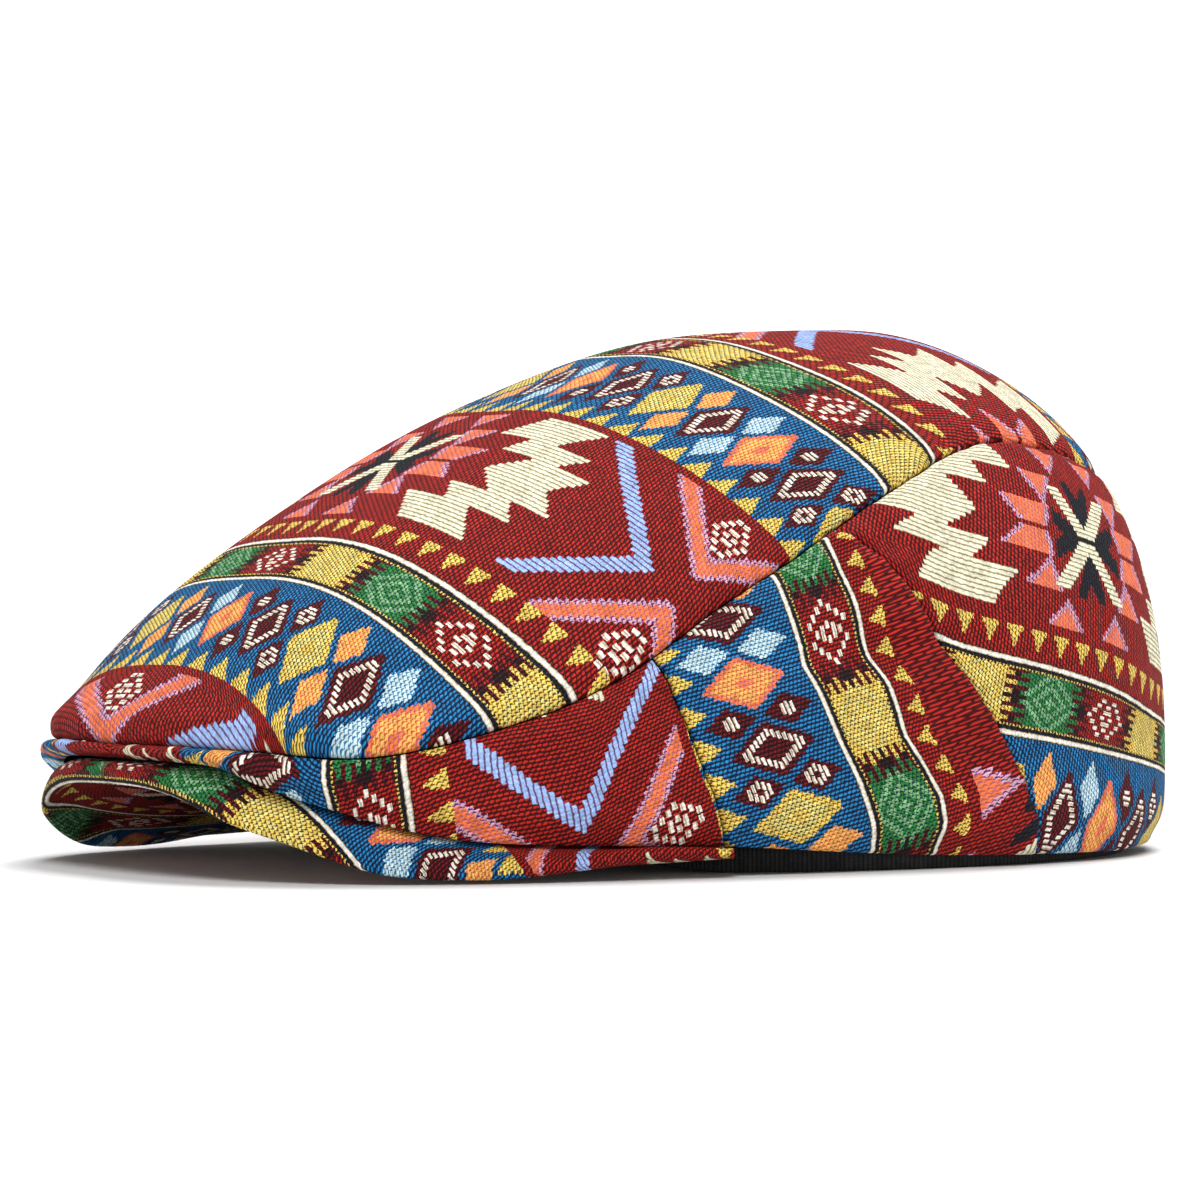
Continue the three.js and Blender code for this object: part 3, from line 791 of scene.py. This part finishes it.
def top_shell(name):
    """The crown's top panel, from its seam to the apex."""
    columns = TOP_ROWS["columns"]
    angle = all_round(columns)
    rings = np.linspace(TOP_ROWS["from"], 1, TOP_ROWS["rings"])[:-1] ** TOP_ROWS["spread"]
    share = np.concatenate([TOP_ROWS["edge"], rings])
    edge = rise_at(angle, seam_height(angle) + SEAM_GAP / 2)
    rise = mix(edge, 90, share[None, :])
    base = dome_point(angle, rise)
    outward = outward_at(dome_point, angle + 0 * rise, rise)
    from_seam = arc_lengths(base, 1)
    along_seam = arc_lengths(base[:, :1], 0)
    above_seam = base[..., 2] - seam_height(angle)
    stand = flare(angle, base[..., 2])
    stand = stand - read_table(SEAM_PULL, np.abs(angle)) * bell(above_seam, SEAM_PULL_HEIGHT)
    seed = len(SIDE_PANELS) + 1
    stand = stand + sag(base) * np.minimum(from_seam / SAG_FADE, 1) + puckers(along_seam, from_seam, seed)
    layers = cloth_layers(base, outward, stand, from_seam)
    tip = np.array([[0, AXIS_Y + APEX_SHIFT, HEIGHT]])
    tips = [tip + [0, 0, sag(tip)[0] - depth] for depth in (0, CLOTH)]
    outside, inside = (np.concatenate([grid.reshape(-1, 3), end]) for grid, end in zip(layers, tips))
    uv = np.concatenate([top_cloth(base).reshape(-1, 2), top_cloth(tip)] * 2)
    rows = len(share)
    layer = columns * rows + 1
    first = np.arange(columns) * rows
    last = first + rows - 1
    after_first, after_last = np.roll(first, -1), np.roll(last, -1)
    tip_row = np.full(columns, layer - 1)
    outer = grid_faces(columns, rows, True, 0, False)
    outer += np.stack([last, after_last, tip_row], -1).tolist()
    inner = grid_faces(columns, rows, True, layer, True)
    inner += (np.stack([after_last, last, tip_row], -1) + layer).tolist()
    wall = np.stack([after_first, first, first + layer, after_first + layer], -1).tolist()
    materials = np.repeat([0, 1, 0], [len(outer), len(inner), len(wall)]).astype(np.int32)
    return mesh_object(name, np.concatenate([outside, inside]), outer + inner + wall, uv, materials)


def peak_shell(name):
    """The peak: a curved board whose rim is rounded and bent down."""
    columns = PEAK_ROWS["columns"]
    angle = np.linspace(-PEAK_END, PEAK_END, columns)[:, None]
    key = np.abs(angle)
    rim_reach = crown_reach(angle) + FLARE["peak"] * bell(key - FLARE["angle"], FLARE["spread"])
    room = rim_reach - band_reach(angle) - SEAM_GAP
    reach = np.linspace(0, PEAK_ROWS["reach"], len(PEAK_INSETS)) ** PEAK_ROWS["spread"]
    inset = np.minimum(PEAK_INSETS, room * reach)
    last = inset[:, -1:]
    inset = np.concatenate([inset] + [mix(last, room, share) for share in PEAK_ROWS["inner"]], 1)
    taper = np.maximum((key - PEAK_TAPER_START) / (PEAK_END - PEAK_TAPER_START), 0)
    thickness = mix(PEAK_THICKNESS, PEAK_END_THICKNESS, taper)
    rim = read_table(PEAK_RIM, key) + thickness / 2
    seat = hem_height(key) - PEAK_SEAT_GAP - thickness / 2
    inner = read_table(PEAK_INNER, key) - thickness / 2
    margin_share = np.sin(np.minimum(inset / PEAK_MARGIN, 1) * 90 * DEGREE)
    inner_share = np.maximum(inset - PEAK_MARGIN, 0) / (room - PEAK_MARGIN)
    middle = mix(mix(rim, seat, margin_share), inner, inner_share)
    rounding = np.sqrt(1 - (1 - np.minimum(inset / (thickness / 2), 1)) ** 2)
    half = thickness / 2 * mix(PEAK_ROWS["rim"], 1, rounding)
    upper = place(angle, rim_reach - inset, middle + half)
    lower = place(angle, rim_reach - inset, middle - half)
    along_rim = np.gradient(upper[:, 0, :2], axis=0)
    outward = unit(np.stack([along_rim[:, 1], -along_rim[:, 0]], -1))[:, None]
    lip = arc_lengths(upper, 1)
    lip_wide = np.array([np.interp(PEAK_MARGIN, inset[i], lip[i]) for i in range(columns)])
    flat_rim = upper[:, :1, :2] + outward * (lip_wide - PEAK_MARGIN)[:, None, None]
    upper_cloth = peak_cloth(flat_rim - outward * lip[..., None])
    lower_cloth = peak_cloth(flat_rim + outward * arc_lengths(lower, 1)[..., None])
    return shell_piece(name, lower, upper, lower_cloth, inner_cloth=upper_cloth)


def sweatband_ring(name):
    """The sweatband: an oval ribbon with rounded edges, higher at the front."""
    columns = BAND_ROWS["columns"]
    turn = all_round(columns)
    near_front = np.minimum(np.abs(turn) / BAND_RISE_END, 1)
    bottom = BAND_RISE * np.cos(near_front * 90 * DEGREE) ** 2
    half = BAND_THICKNESS / 2
    corner = np.linspace(0, 180, BAND_ROWS["corner"]) * DEGREE
    lower = [(half * math.cos(c), half - half * math.sin(c)) for c in corner]
    upper = [(-half * math.cos(c), BAND_HEIGHT - half + half * math.sin(c)) for c in corner]
    wall = np.linspace(half, BAND_HEIGHT - half, BAND_ROWS["wall"])[1:-1]
    section = np.array(lower + [(-half, z) for z in wall] + upper + [(half, z) for z in wall[::-1]])
    out, up = section.T[:, None]
    points = place(turn, band_reach(turn) - half + out, bottom + up)
    rows = len(section)
    first = np.arange(columns) * rows
    last = first + rows - 1
    faces = grid_faces(columns, rows, True, 0, True)
    faces += np.stack([last, first, np.roll(first, -1), np.roll(last, -1)], -1).tolist()
    cloth = np.stack([outline_arc(np.abs(turn)) * np.sign(turn) + 0 * up, up + 0 * turn], -1)
    materials = np.zeros(len(faces), np.int32)
    return mesh_object(name, points.reshape(-1, 3), faces, cloth.reshape(-1, 2), materials)


# Materials


def operator(operation):
    """Method that adds the node for an operation on a value."""
    return lambda value, *others: value.math(operation, *others)


class Value:
    """A number in a material's node tree. Calculating with it adds the nodes that do it."""

    def __init__(self, tree, socket):
        self.tree = tree
        self.socket = socket

    def math(self, operation, *others):
        return calculate(self.tree, operation, self, *others)

    def line(self, slope, start):
        """Start plus slope times the value."""
        return self.math("MULTIPLY_ADD", slope, start)

    def __rsub__(self, other):
        return calculate(self.tree, "SUBTRACT", other, self)

    __add__ = operator("ADD")
    __sub__ = operator("SUBTRACT")
    __mul__ = operator("MULTIPLY")
    __truediv__ = operator("DIVIDE")
    __lt__ = operator("LESS_THAN")
    __gt__ = operator("GREATER_THAN")
    __and__ = operator("MULTIPLY")
    __or__ = operator("MAXIMUM")
    __abs__ = operator("ABSOLUTE")


def calculate(tree, operation, *terms):
    node = tree.nodes.new("ShaderNodeMath")
    node.operation = operation
    for slot, term in zip(node.inputs, terms):
        if isinstance(term, Value):
            tree.links.new(term.socket, slot)
        else:
            slot.default_value = term
    return Value(tree, node.outputs[0])


def blend(start, end, share):
    """Start where the share is 0 and end where it is 1."""
    node = start.tree.nodes.new("ShaderNodeMix")
    node.data_type = "FLOAT"
    start.tree.links.new(share.socket, node.inputs["Factor"])
    start.tree.links.new(start.socket, node.inputs["A"])
    if isinstance(end, Value):
        start.tree.links.new(end.socket, node.inputs["B"])
    else:
        node.inputs["B"].default_value = end
    return Value(start.tree, node.outputs["Result"])


def paint(pattern, shape, yarn):
    """The pattern with one yarn woven over it inside a shape."""
    return blend(pattern, float(YARN_NUMBER[yarn]), shape)


def nearest(value, pitch, centre):
    """Signed distance to the nearest of evenly spaced centres."""
    return (value - centre).math("WRAP", pitch / 2, -pitch / 2)


def snapped(value, step):
    """The middle of the stitch that the value is in."""
    return (value / step).math("ROUND") * step


def within(value, low, high):
    return value.math("COMPARE", (low + high) / 2, (high - low) / 2)


def stepped(value, segments):
    """A line that changes at some values: {from: (start, slope)}."""
    rows = list(segments.items())
    start, slope = rows[0][1]
    result = value.line(slope, start)
    for place_from, (next_start, next_slope) in rows[1:]:
        change = value.line(next_slope - slope, next_start - start)
        result = (value > place_from).math("MULTIPLY_ADD", change, result)
        start, slope = next_start, next_slope
    return result


def dashed_ring(along, across, size, pitch=DASH_HIGH):
    """One short dash a row on each side of a lozenge, given by half its length and height."""
    row = (across / pitch).math("ROUND") * pitch
    on_row = abs(across - row) < DASH_FULLNESS * pitch
    beside = abs(along + row.line(size[0] / size[1], -size[0])) < DASH_LONG / 2
    return on_row & beside & (row < size[1])


def black_petal(out, aside, form):
    """A petal between two slanting lines, as far as its tip."""
    upper, lower = (out.line(slope, start) for start, slope in (form["upper"], form["lower"]))
    return (out < form["reach"]) & (aside < upper) & (aside > lower)


def weave_star(pattern, u, v):
    """The eight-petalled star and the ring of stepped orange shapes round it."""
    for shape in STAR_SHAPES:
        low, high = shape["from"], shape["to"]
        edges = []
        for side in ("left", "right"):
            near, far = shape[side]
            slope = (far - near) / (high - low)
            edges.append(v.line(slope, near - low * slope))
        inside = (u - edges[0]).math("MINIMUM", edges[1] - u)
        band = within(v, low, high)
        pattern = paint(pattern, band & (inside > 0), "lilac")
        pattern = paint(pattern, band & (inside > STAR_BORDER), "orange")
    petals = black_petal(u, v, SIDE_PETAL) | black_petal(v, u, END_PETAL)
    pattern = paint(pattern, petals, "black")
    form = CREAM_PETAL
    off_diagonal = abs(u * form["along"] - v * form["across"])
    return paint(pattern, (off_diagonal < form["half_wide"]) & within(v, form["from"], form["to"]), "cream")


def weave_cream_figure(pattern, u, v):
    off_middle = abs(v - CREAM_FIGURE["middle"])
    left, right = (stepped(off_middle, CREAM_FIGURE[side]) for side in ("left", "right"))
    figure = (u > left) & (u < right) & (off_middle < CREAM_FIGURE["half_high"])
    return paint(pattern, figure, "cream")


def weave_chevrons(pattern, u, v):
    for yarn, form in CHEVRONS.items():
        off_middle = abs(v - form["middle"])
        off_line = abs(u + off_middle.line(form["slope"], -form["tip"]))
        shape = (off_line < form["half_wide"]) & (off_middle > form["open"])
        pattern = paint(pattern, shape & within(v, form["from"], CHEVRON_END), yarn)
    return pattern


def weave_field(pattern, u, v, fine_u, fine_v):
    """The red field's figures; u is the distance from the star's centre, v the place across."""
    pattern = weave_star(pattern, u, abs(v - STAR["across"]))
    pattern = weave_cream_figure(pattern, u, v)
    pattern = weave_chevrons(pattern, u, v)
    from_cross = MEDALLION_REPEAT / 2 - fine_u
    for across in FIELD_RINGS["across"]:
        off_centre = abs(fine_v - across)
        outer, inner = (dashed_ring(from_cross, off_centre, FIELD_RINGS[ring]) for ring in ("outer", "inner"))
        pattern = paint(pattern, outer | inner, "white")
    return pattern


def weave_lozenges(pattern, u, v, fine_u, fine_v):
    """The blue band's lozenges; v is the distance from the middle of the band."""
    for row in LOZENGE_ROWS:
        across, fine_across = (abs(place - row["off_middle"]) for place in (v, fine_v))
        along, fine_along = (abs(nearest(place, LOZENGE_PITCH, row["start"])) for place in (u, fine_u))
        share = along.line(1 / row["long"], across / row["high"])
        number = ((u - row["start"]) / LOZENGE_PITCH).math("ROUND").math("FLOORED_MODULO", 4.0)
        turns = [within(number, turn - 0.5, turn + 0.5) for turn in range(4)]
        for turn, low, high, yarn in row["parts"]:
            pattern = paint(pattern, turns[turn] & within(share, low, high), yarn)
        for turn, size in row["rings"].items():
            ring = dashed_ring(fine_along, fine_across, size, RING_HIGH)
            pattern = paint(pattern, turns[turn] & ring, "white")
    return pattern


def any_within(value, spans):
    """Whether the value is in one of several spans."""
    result = within(value, *spans[0])
    for span in spans[1:]:
        result = result | within(value, *span)
    return result


def weave_blocks(pattern, u, v, fine_u, fine_v):
    """The motif band's comb-edged blocks; v is the distance from the middle of the band."""
    reach = stepped(v, {start: (length, 0) for start, length in COMB.items()})
    pattern = paint(pattern, any_within(v, STRIPES), "maroon")
    for kind, along in BLOCKS.items():
        from_block = abs(nearest(u, BLOCK_REPEAT, along))
        block = (from_block < reach) & (v < BLOCK_HALF_HIGH)
        pattern = paint(pattern, block, kind)
        if kind in LIGHTER:
            share = (from_block + v) / BLOCK_RING_SIZE
            pattern = paint(pattern, block & any_within(share, BLOCK_RINGS), LIGHTER[kind])
        else:
            fine_block = abs(nearest(fine_u, BLOCK_REPEAT, along))
            outer = dashed_ring(fine_block, fine_v, RED_RINGS["outer"]) & (fine_v < RED_RINGS["half_high"])
            inner = dashed_ring(fine_block, fine_v, RED_RINGS["inner"])
            pattern = paint(pattern, outer | inner, "white")
    return pattern


def weave_triangles(pattern, u, v):
    """The rows of small triangles beside the bands."""
    for row in TRIANGLE_ROWS:
        off_middle = abs(nearest(v.line(row["lean"], u), row["pitch"], row["start"]))
        inside = off_middle < v.line(row["slope"], row["base"])
        pattern = paint(pattern, inside & within(v, row["from"], row["to"]), "mustard")
    return pattern


def weave_cords(pattern, v, stitch):
    """White cords along the bands, each with a dark and a dotted yellow line on its motif side."""
    from_a = nearest(v, BAND_REPEAT, 0.0)
    from_b = nearest(v, BAND_REPEAT, LINE_B) * -1
    for side in (from_a, from_b):
        pattern = paint(pattern, within(side, CORD["dark_from"], CORD["dark_to"]), "black")
        dots = within(side, CORD["dark_from"], CORD["dots_to"]) & (stitch["u"] > CORD["dot_from"])
        pattern = paint(pattern, dots, "mustard")
        pattern = paint(pattern, abs(side) < CORD["half_wide"], "white")
    return pattern


def read_stitches(u, v):
    """Place inside the stitch, from 0 to 1, for the ways that the yarns are woven."""
    stagger = (u / STITCH_LONG).math("FLOOR").math("FLOORED_MODULO", 2.0) * 0.5
    rows = v / STITCH_HIGH + 0.5
    brick = (rows + stagger).math("FLOORED_MODULO", 1.0)
    column = u / STITCH_LONG + brick * STITCH_LEAN
    return {
        "u": column.math("FLOORED_MODULO", 1.0),
        "brick": brick,
        "row": rows.math("FLOORED_MODULO", 1.0),
        "column_number": column.math("FLOOR"),
        "row_number": (rows + stagger).math("FLOOR"),
    }


def weave_pattern(u, v, stitch):
    """Number of the yarn on top at a place of the cloth."""
    stitch_u, stitch_v = snapped(u, STITCH_LONG / 2), snapped(v, STITCH_HIGH)
    field = (stitch_v / BAND_REPEAT).math("FLOOR")
    across = stitch_v - field * BAND_REPEAT
    fine = v - field * BAND_REPEAT
    half_drop = field.math("FLOORED_MODULO", 2.0) * (MEDALLION_REPEAT / 2)
    from_star = abs(nearest(stitch_u + half_drop, MEDALLION_REPEAT, STAR["along"]))
    fine_star = abs(nearest(u + half_drop, MEDALLION_REPEAT, STAR["along"]))
    pattern = weave_field(across * 0.0, from_star, across, fine_star, fine)
    pattern = paint(pattern, across > FIELD_WIDE, "blue")
    pattern = weave_lozenges(pattern, stitch_u, abs(across - BLUE_MIDDLE), u, abs(fine - BLUE_MIDDLE))
    pattern = paint(pattern, across > LINE_B, "brown")
    pattern = weave_blocks(pattern, stitch_u, abs(across - MOTIF_MIDDLE), u, abs(fine - MOTIF_MIDDLE))
    pattern = weave_triangles(pattern, stitch_u, across)
    return weave_cords(pattern, v, stitch)


def arch(share, power=1.0):
    """Rounded profile across a stitch: 0 at its edges and 1 in its middle."""
    sine = (share * math.pi).math("SINE")
    return sine if power == 1.0 else sine.math("POWER", power)


def upright_stitches(stitch):
    return arch(stitch["u"], UPRIGHT_SIDES) * arch(stitch["brick"], UPRIGHT_ENDS)


def stitch_height(yarn, stitch):
    """Height of the yarn inside its stitch, from 0 to 1."""
    row = arch(stitch["row"], ROW_SIDES)
    specks = 1 - (1 - arch(stitch["u"])) * (1 - arch(stitch["brick"])) * SPECK_DEPTH
    last_ground = len(GROUND_YARNS) - 0.5
    last_row = last_ground + len(ROW_YARNS)
    height = blend(upright_stitches(stitch), row, yarn > last_ground)
    return blend(height, specks, yarn > last_row)


def linear(colour):
    """Screen colour to light."""
    return tuple(c / 12.92 if c < 0.04045 else ((c + 0.055) / 1.055) ** 2.4 for c in colour)


def yarn_colours(yarn, column):
    """Colour ramp that reads one colour of each yarn by its number."""
    ramp = yarn.tree.nodes.new("ShaderNodeValToRGB")
    ramp.color_ramp.interpolation = "CONSTANT"
    stops = ramp.color_ramp.elements
    stops.remove(stops[-1])
    for number, colours in enumerate(YARNS.values()):
        stop = stops.new(number / len(YARNS)) if number else stops[0]
        stop.color = (*linear(colours[column]), 1)
    share = (yarn + 0.5) / len(YARNS)
    yarn.tree.links.new(share.socket, ramp.inputs["Fac"])
    return ramp.outputs["Color"]


def mix_colours(tree, start, end, share, kind="MIX"):
    node = tree.nodes.new("ShaderNodeMix")
    node.data_type = "RGBA"
    node.blend_type = kind
    for socket, term in zip((node.inputs[0], node.inputs[6], node.inputs[7]), (share, start, end)):
        if isinstance(term, Value):
            term = term.socket
        if isinstance(term, float):
            socket.default_value = term
        else:
            tree.links.new(term, socket)
    return node.outputs[2]


def new_material(name, roughness):
    material = bpy.data.materials.new(name)
    material.use_nodes = True
    surface = material.node_tree.nodes["Principled BSDF"]
    surface.inputs["Roughness"].default_value = roughness
    surface.inputs["Specular IOR Level"].default_value = 0.2
    return material, material.node_tree, surface


def place_on_cloth(tree):
    """Millimetres along and across the cloth."""
    uv = tree.nodes.new("ShaderNodeUVMap")
    uv.uv_map = "fabric"
    parts = tree.nodes.new("ShaderNodeSeparateXYZ")
    tree.links.new(uv.outputs["UV"], parts.inputs["Vector"])
    return [Value(tree, parts.outputs[axis]) * CLOTH_UNIT for axis in ("X", "Y")]


def joined(tree, x, y):
    node = tree.nodes.new("ShaderNodeCombineXYZ")
    tree.links.new(x.socket, node.inputs["X"])
    tree.links.new(y.socket, node.inputs["Y"])
    return node.outputs["Vector"]


def noise(tree, u, v, scale):
    """Cloudy unevenness from 0 to 1, over the cloth."""
    texture = tree.nodes.new("ShaderNodeTexNoise")
    texture.inputs["Scale"].default_value = scale
    texture.inputs["Detail"].default_value = 1.0
    tree.links.new(joined(tree, u, v), texture.inputs["Vector"])
    return Value(tree, texture.outputs["Fac"])


def add_bump(tree, surface, height):
    bump = tree.nodes.new("ShaderNodeBump")
    bump.inputs["Distance"].default_value = WEAVE_RELIEF
    tree.links.new(height.socket, bump.inputs["Height"])
    tree.links.new(bump.outputs["Normal"], surface.inputs["Normal"])


def stitch_shade(tree, stitch):
    """A slightly different lightness for each stitch."""
    random = tree.nodes.new("ShaderNodeTexWhiteNoise")
    random.noise_dimensions = "2D"
    place_in_rows = joined(tree, stitch["column_number"], stitch["row_number"])
    tree.links.new(place_in_rows, random.inputs["Vector"])
    return Value(tree, random.outputs["Value"])


def shaded(tree, colour, shade):
    return mix_colours(tree, colour, shade, 1.0, "MULTIPLY")


def patterned_cloth():
    material, tree, surface = new_material("patterned_cloth", 0.85)
    u, v = place_on_cloth(tree)
    waver_u = u + (noise(tree, u, v, WAVER["scale"]) - 0.5) * WAVER["reach"]
    waver_v = v + (noise(tree, v, u, WAVER["scale"]) - 0.5) * WAVER["reach"]
    stitch = read_stitches(waver_u, waver_v)
    yarn = weave_pattern(waver_u, waver_v, stitch)
    # Where a stitch sinks the yarn's gap colour shows: partly the yarns between the stitches, partly painted
    # shade in the grooves.
    top = (stitch_height(yarn, stitch) - GAP_LEVEL) * GAP_CONTRAST
    top = top.math("MINIMUM", 1.0).math("MAXIMUM", 0.0)
    colour = mix_colours(tree, yarn_colours(yarn, 1), yarn_colours(yarn, 0), top)
    uneven = noise(tree, u, v, UNEVEN["scale"]).line(UNEVEN["cloth"], UNEVEN["least"])
    uneven = uneven + stitch_shade(tree, stitch) * UNEVEN["stitch"]
    tree.links.new(shaded(tree, colour, uneven), surface.inputs["Base Color"])
    add_bump(tree, surface, upright_stitches(stitch))
    return material


def cloth_reverse():
    """The cloth's wrong side: loose dark floats with the pattern's colours showing faintly."""
    material, tree, surface = new_material("cloth_reverse", 0.9)
    u, v = place_on_cloth(tree)
    stitch = read_stitches(u, v)
    height = arch(stitch["u"], FLOAT["sides"]) * arch(stitch["brick"], FLOAT["ends"])
    yarn = noise(tree, u, v, FLOAT_YARN["scale"]) * FLOAT_YARN["spread"] + FLOAT_YARN["first"]
    # The floats take the yarns' gap colours and grow lighter towards their middles: painted light on their
    # rounded tops.
    colour = mix_colours(tree, yarn_colours(yarn, 1), yarn_colours(yarn, 0), height * FLOAT["show"])
    shade = stitch_shade(tree, stitch).line(FLOAT["stitch"], FLOAT["least"])
    tree.links.new(shaded(tree, colour, shade), surface.inputs["Base Color"])
    add_bump(tree, surface, height)
    return material


def black_band():
    """Black cotton tape with fine upright ribs crossed by fine threads."""
    material, tree, surface = new_material("black_band", 0.8)
    u, v = place_on_cloth(tree)
    rib = arch((u / TAPE["rib"]).math("FLOORED_MODULO", 1.0), TAPE["rib_sides"])
    thread = arch((v / TAPE["thread"]).math("FLOORED_MODULO", 1.0), TAPE["thread_sides"])
    height = rib * thread.line(TAPE["relief"], 1 - TAPE["relief"])
    # Lighter on the tops of the ribs and threads and darker in the grooves between them: painted shade, with
    # random unevenness over it.
    uneven = noise(tree, u, v, TAPE["uneven"]) * height
    tree.links.new(uneven.line(TAPE["light"], TAPE["dark"]).socket, surface.inputs["Base Color"])
    add_bump(tree, surface, height)
    return material


def plain_material(name, shade):
    material, _, surface = new_material(name, 0.9)
    surface.inputs["Base Color"].default_value = (shade, shade, shade, 1)
    return material


# Camera, floor and light


def add_object(name, data):
    thing = bpy.data.objects.new(name, data)
    bpy.context.scene.collection.objects.link(thing)
    return thing


def direction(azimuth, elevation):
    """Direction out from the cap, by degrees round it and up."""
    a, e = azimuth * DEGREE, elevation * DEGREE
    return Vector((math.sin(a) * math.cos(e), -math.cos(a) * math.cos(e), math.sin(e)))


def add_camera():
    """The photograph's camera, aimed at the point that its middle shows."""
    back = direction(CAMERA_AZIMUTH, CAMERA_ELEVATION)
    right = direction(CAMERA_AZIMUTH + 90, 0)
    up = back.cross(right)
    middle = PHOTO_SIDE / 2
    aim = right * ((middle - PHOTO_ORIGIN[0]) / PIXELS_PER_MM)
    aim += up * ((PHOTO_ORIGIN[1] - middle) / PIXELS_PER_MM)
    stand = back * CAMERA_DISTANCE
    data = bpy.data.cameras.new("camera")
    data.sensor_width = SENSOR
    data.lens = SENSOR * PIXELS_PER_MM * (stand - aim).length / PHOTO_SIDE
    data.clip_start, data.clip_end = 0.05, 30
    camera = add_object("camera", data)
    camera.location = stand * METRE
    camera.rotation_euler = (aim - stand).to_track_quat("-Z", "Y").to_euler()
    bpy.context.scene.camera = camera


def add_floor():
    mesh = bpy.data.meshes.new("floor")
    corners = ((-1, -1), (1, -1), (1, 1), (-1, 1))
    mesh.from_pydata([(x * FLOOR_REACH, y * FLOOR_REACH, 0) for x, y in corners], [], [(0, 1, 2, 3)])
    mesh.materials.append(plain_material("floor", FLOOR_SHADE))
    add_object("floor", mesh)


def add_backdrop():
    """A white paper backdrop all round, at a distance."""
    turns = np.arange(BACKDROP_SEGMENTS) * 2 * math.pi / BACKDROP_SEGMENTS
    ring = [(BACKDROP_REACH * math.cos(turn), BACKDROP_REACH * math.sin(turn)) for turn in turns]
    points = [(x, y, height) for height in (BACKDROP_FOOT, BACKDROP_HEIGHT) for x, y in ring]
    below = np.arange(BACKDROP_SEGMENTS)
    after = np.roll(below, -1)
    faces = np.stack([after, below, below + BACKDROP_SEGMENTS, after + BACKDROP_SEGMENTS], -1).tolist()
    mesh = bpy.data.meshes.new("backdrop")
    mesh.from_pydata(points, [], faces)
    paper = plain_material("backdrop", 0)
    surface = paper.node_tree.nodes["Principled BSDF"]
    surface.inputs["Emission Color"].default_value = (1, 1, 1, 1)
    surface.inputs["Emission Strength"].default_value = BACKDROP_GLOW
    mesh.materials.append(paper)
    add_object("backdrop", mesh)


def add_sun(name, azimuth, elevation, spread, strength):
    """Soft light from a wide patch of the sky."""
    data = bpy.data.lights.new(name, "SUN")
    data.energy = strength
    data.angle = spread * DEGREE
    light = add_object(name, data)
    light.rotation_euler = (-direction(azimuth, elevation)).to_track_quat("-Z", "Y").to_euler()


def add_light():
    world = bpy.data.worlds.new("studio")
    bpy.context.scene.world = world
    world.use_nodes = True
    sky = world.node_tree.nodes["Background"]
    sky.inputs["Color"].default_value = (1, 1, 1, 1)
    sky.inputs["Strength"].default_value = SKY_LIGHT
    add_sun("key", **KEY_LIGHT)
    add_sun("fill", **FILL_LIGHT)
    bpy.context.scene.view_settings.view_transform = "Standard"


# Build


def finish_piece(piece, node, materials):
    for material in materials:
        piece.data.materials.append(material)
    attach(piece, "root")
    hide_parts(node)


add_camera()
add_floor()
add_backdrop()
add_light()

cloth_materials = [patterned_cloth(), cloth_reverse()]
cloth_pieces = [top_shell("crown_top_cloth")]
for number, (panel_name, panel_form) in enumerate(SIDE_PANELS.items()):
    cloth_pieces += side_shell(panel_name, panel_form, number + 1)
cloth_pieces.append(peak_shell("peak_cloth"))
for cloth_piece in cloth_pieces:
    finish_piece(cloth_piece, cloth_piece.name.replace("_cloth", ""), cloth_materials)
finish_piece(sweatband_ring("sweatband_ribbon"), "sweatband", [black_band()])
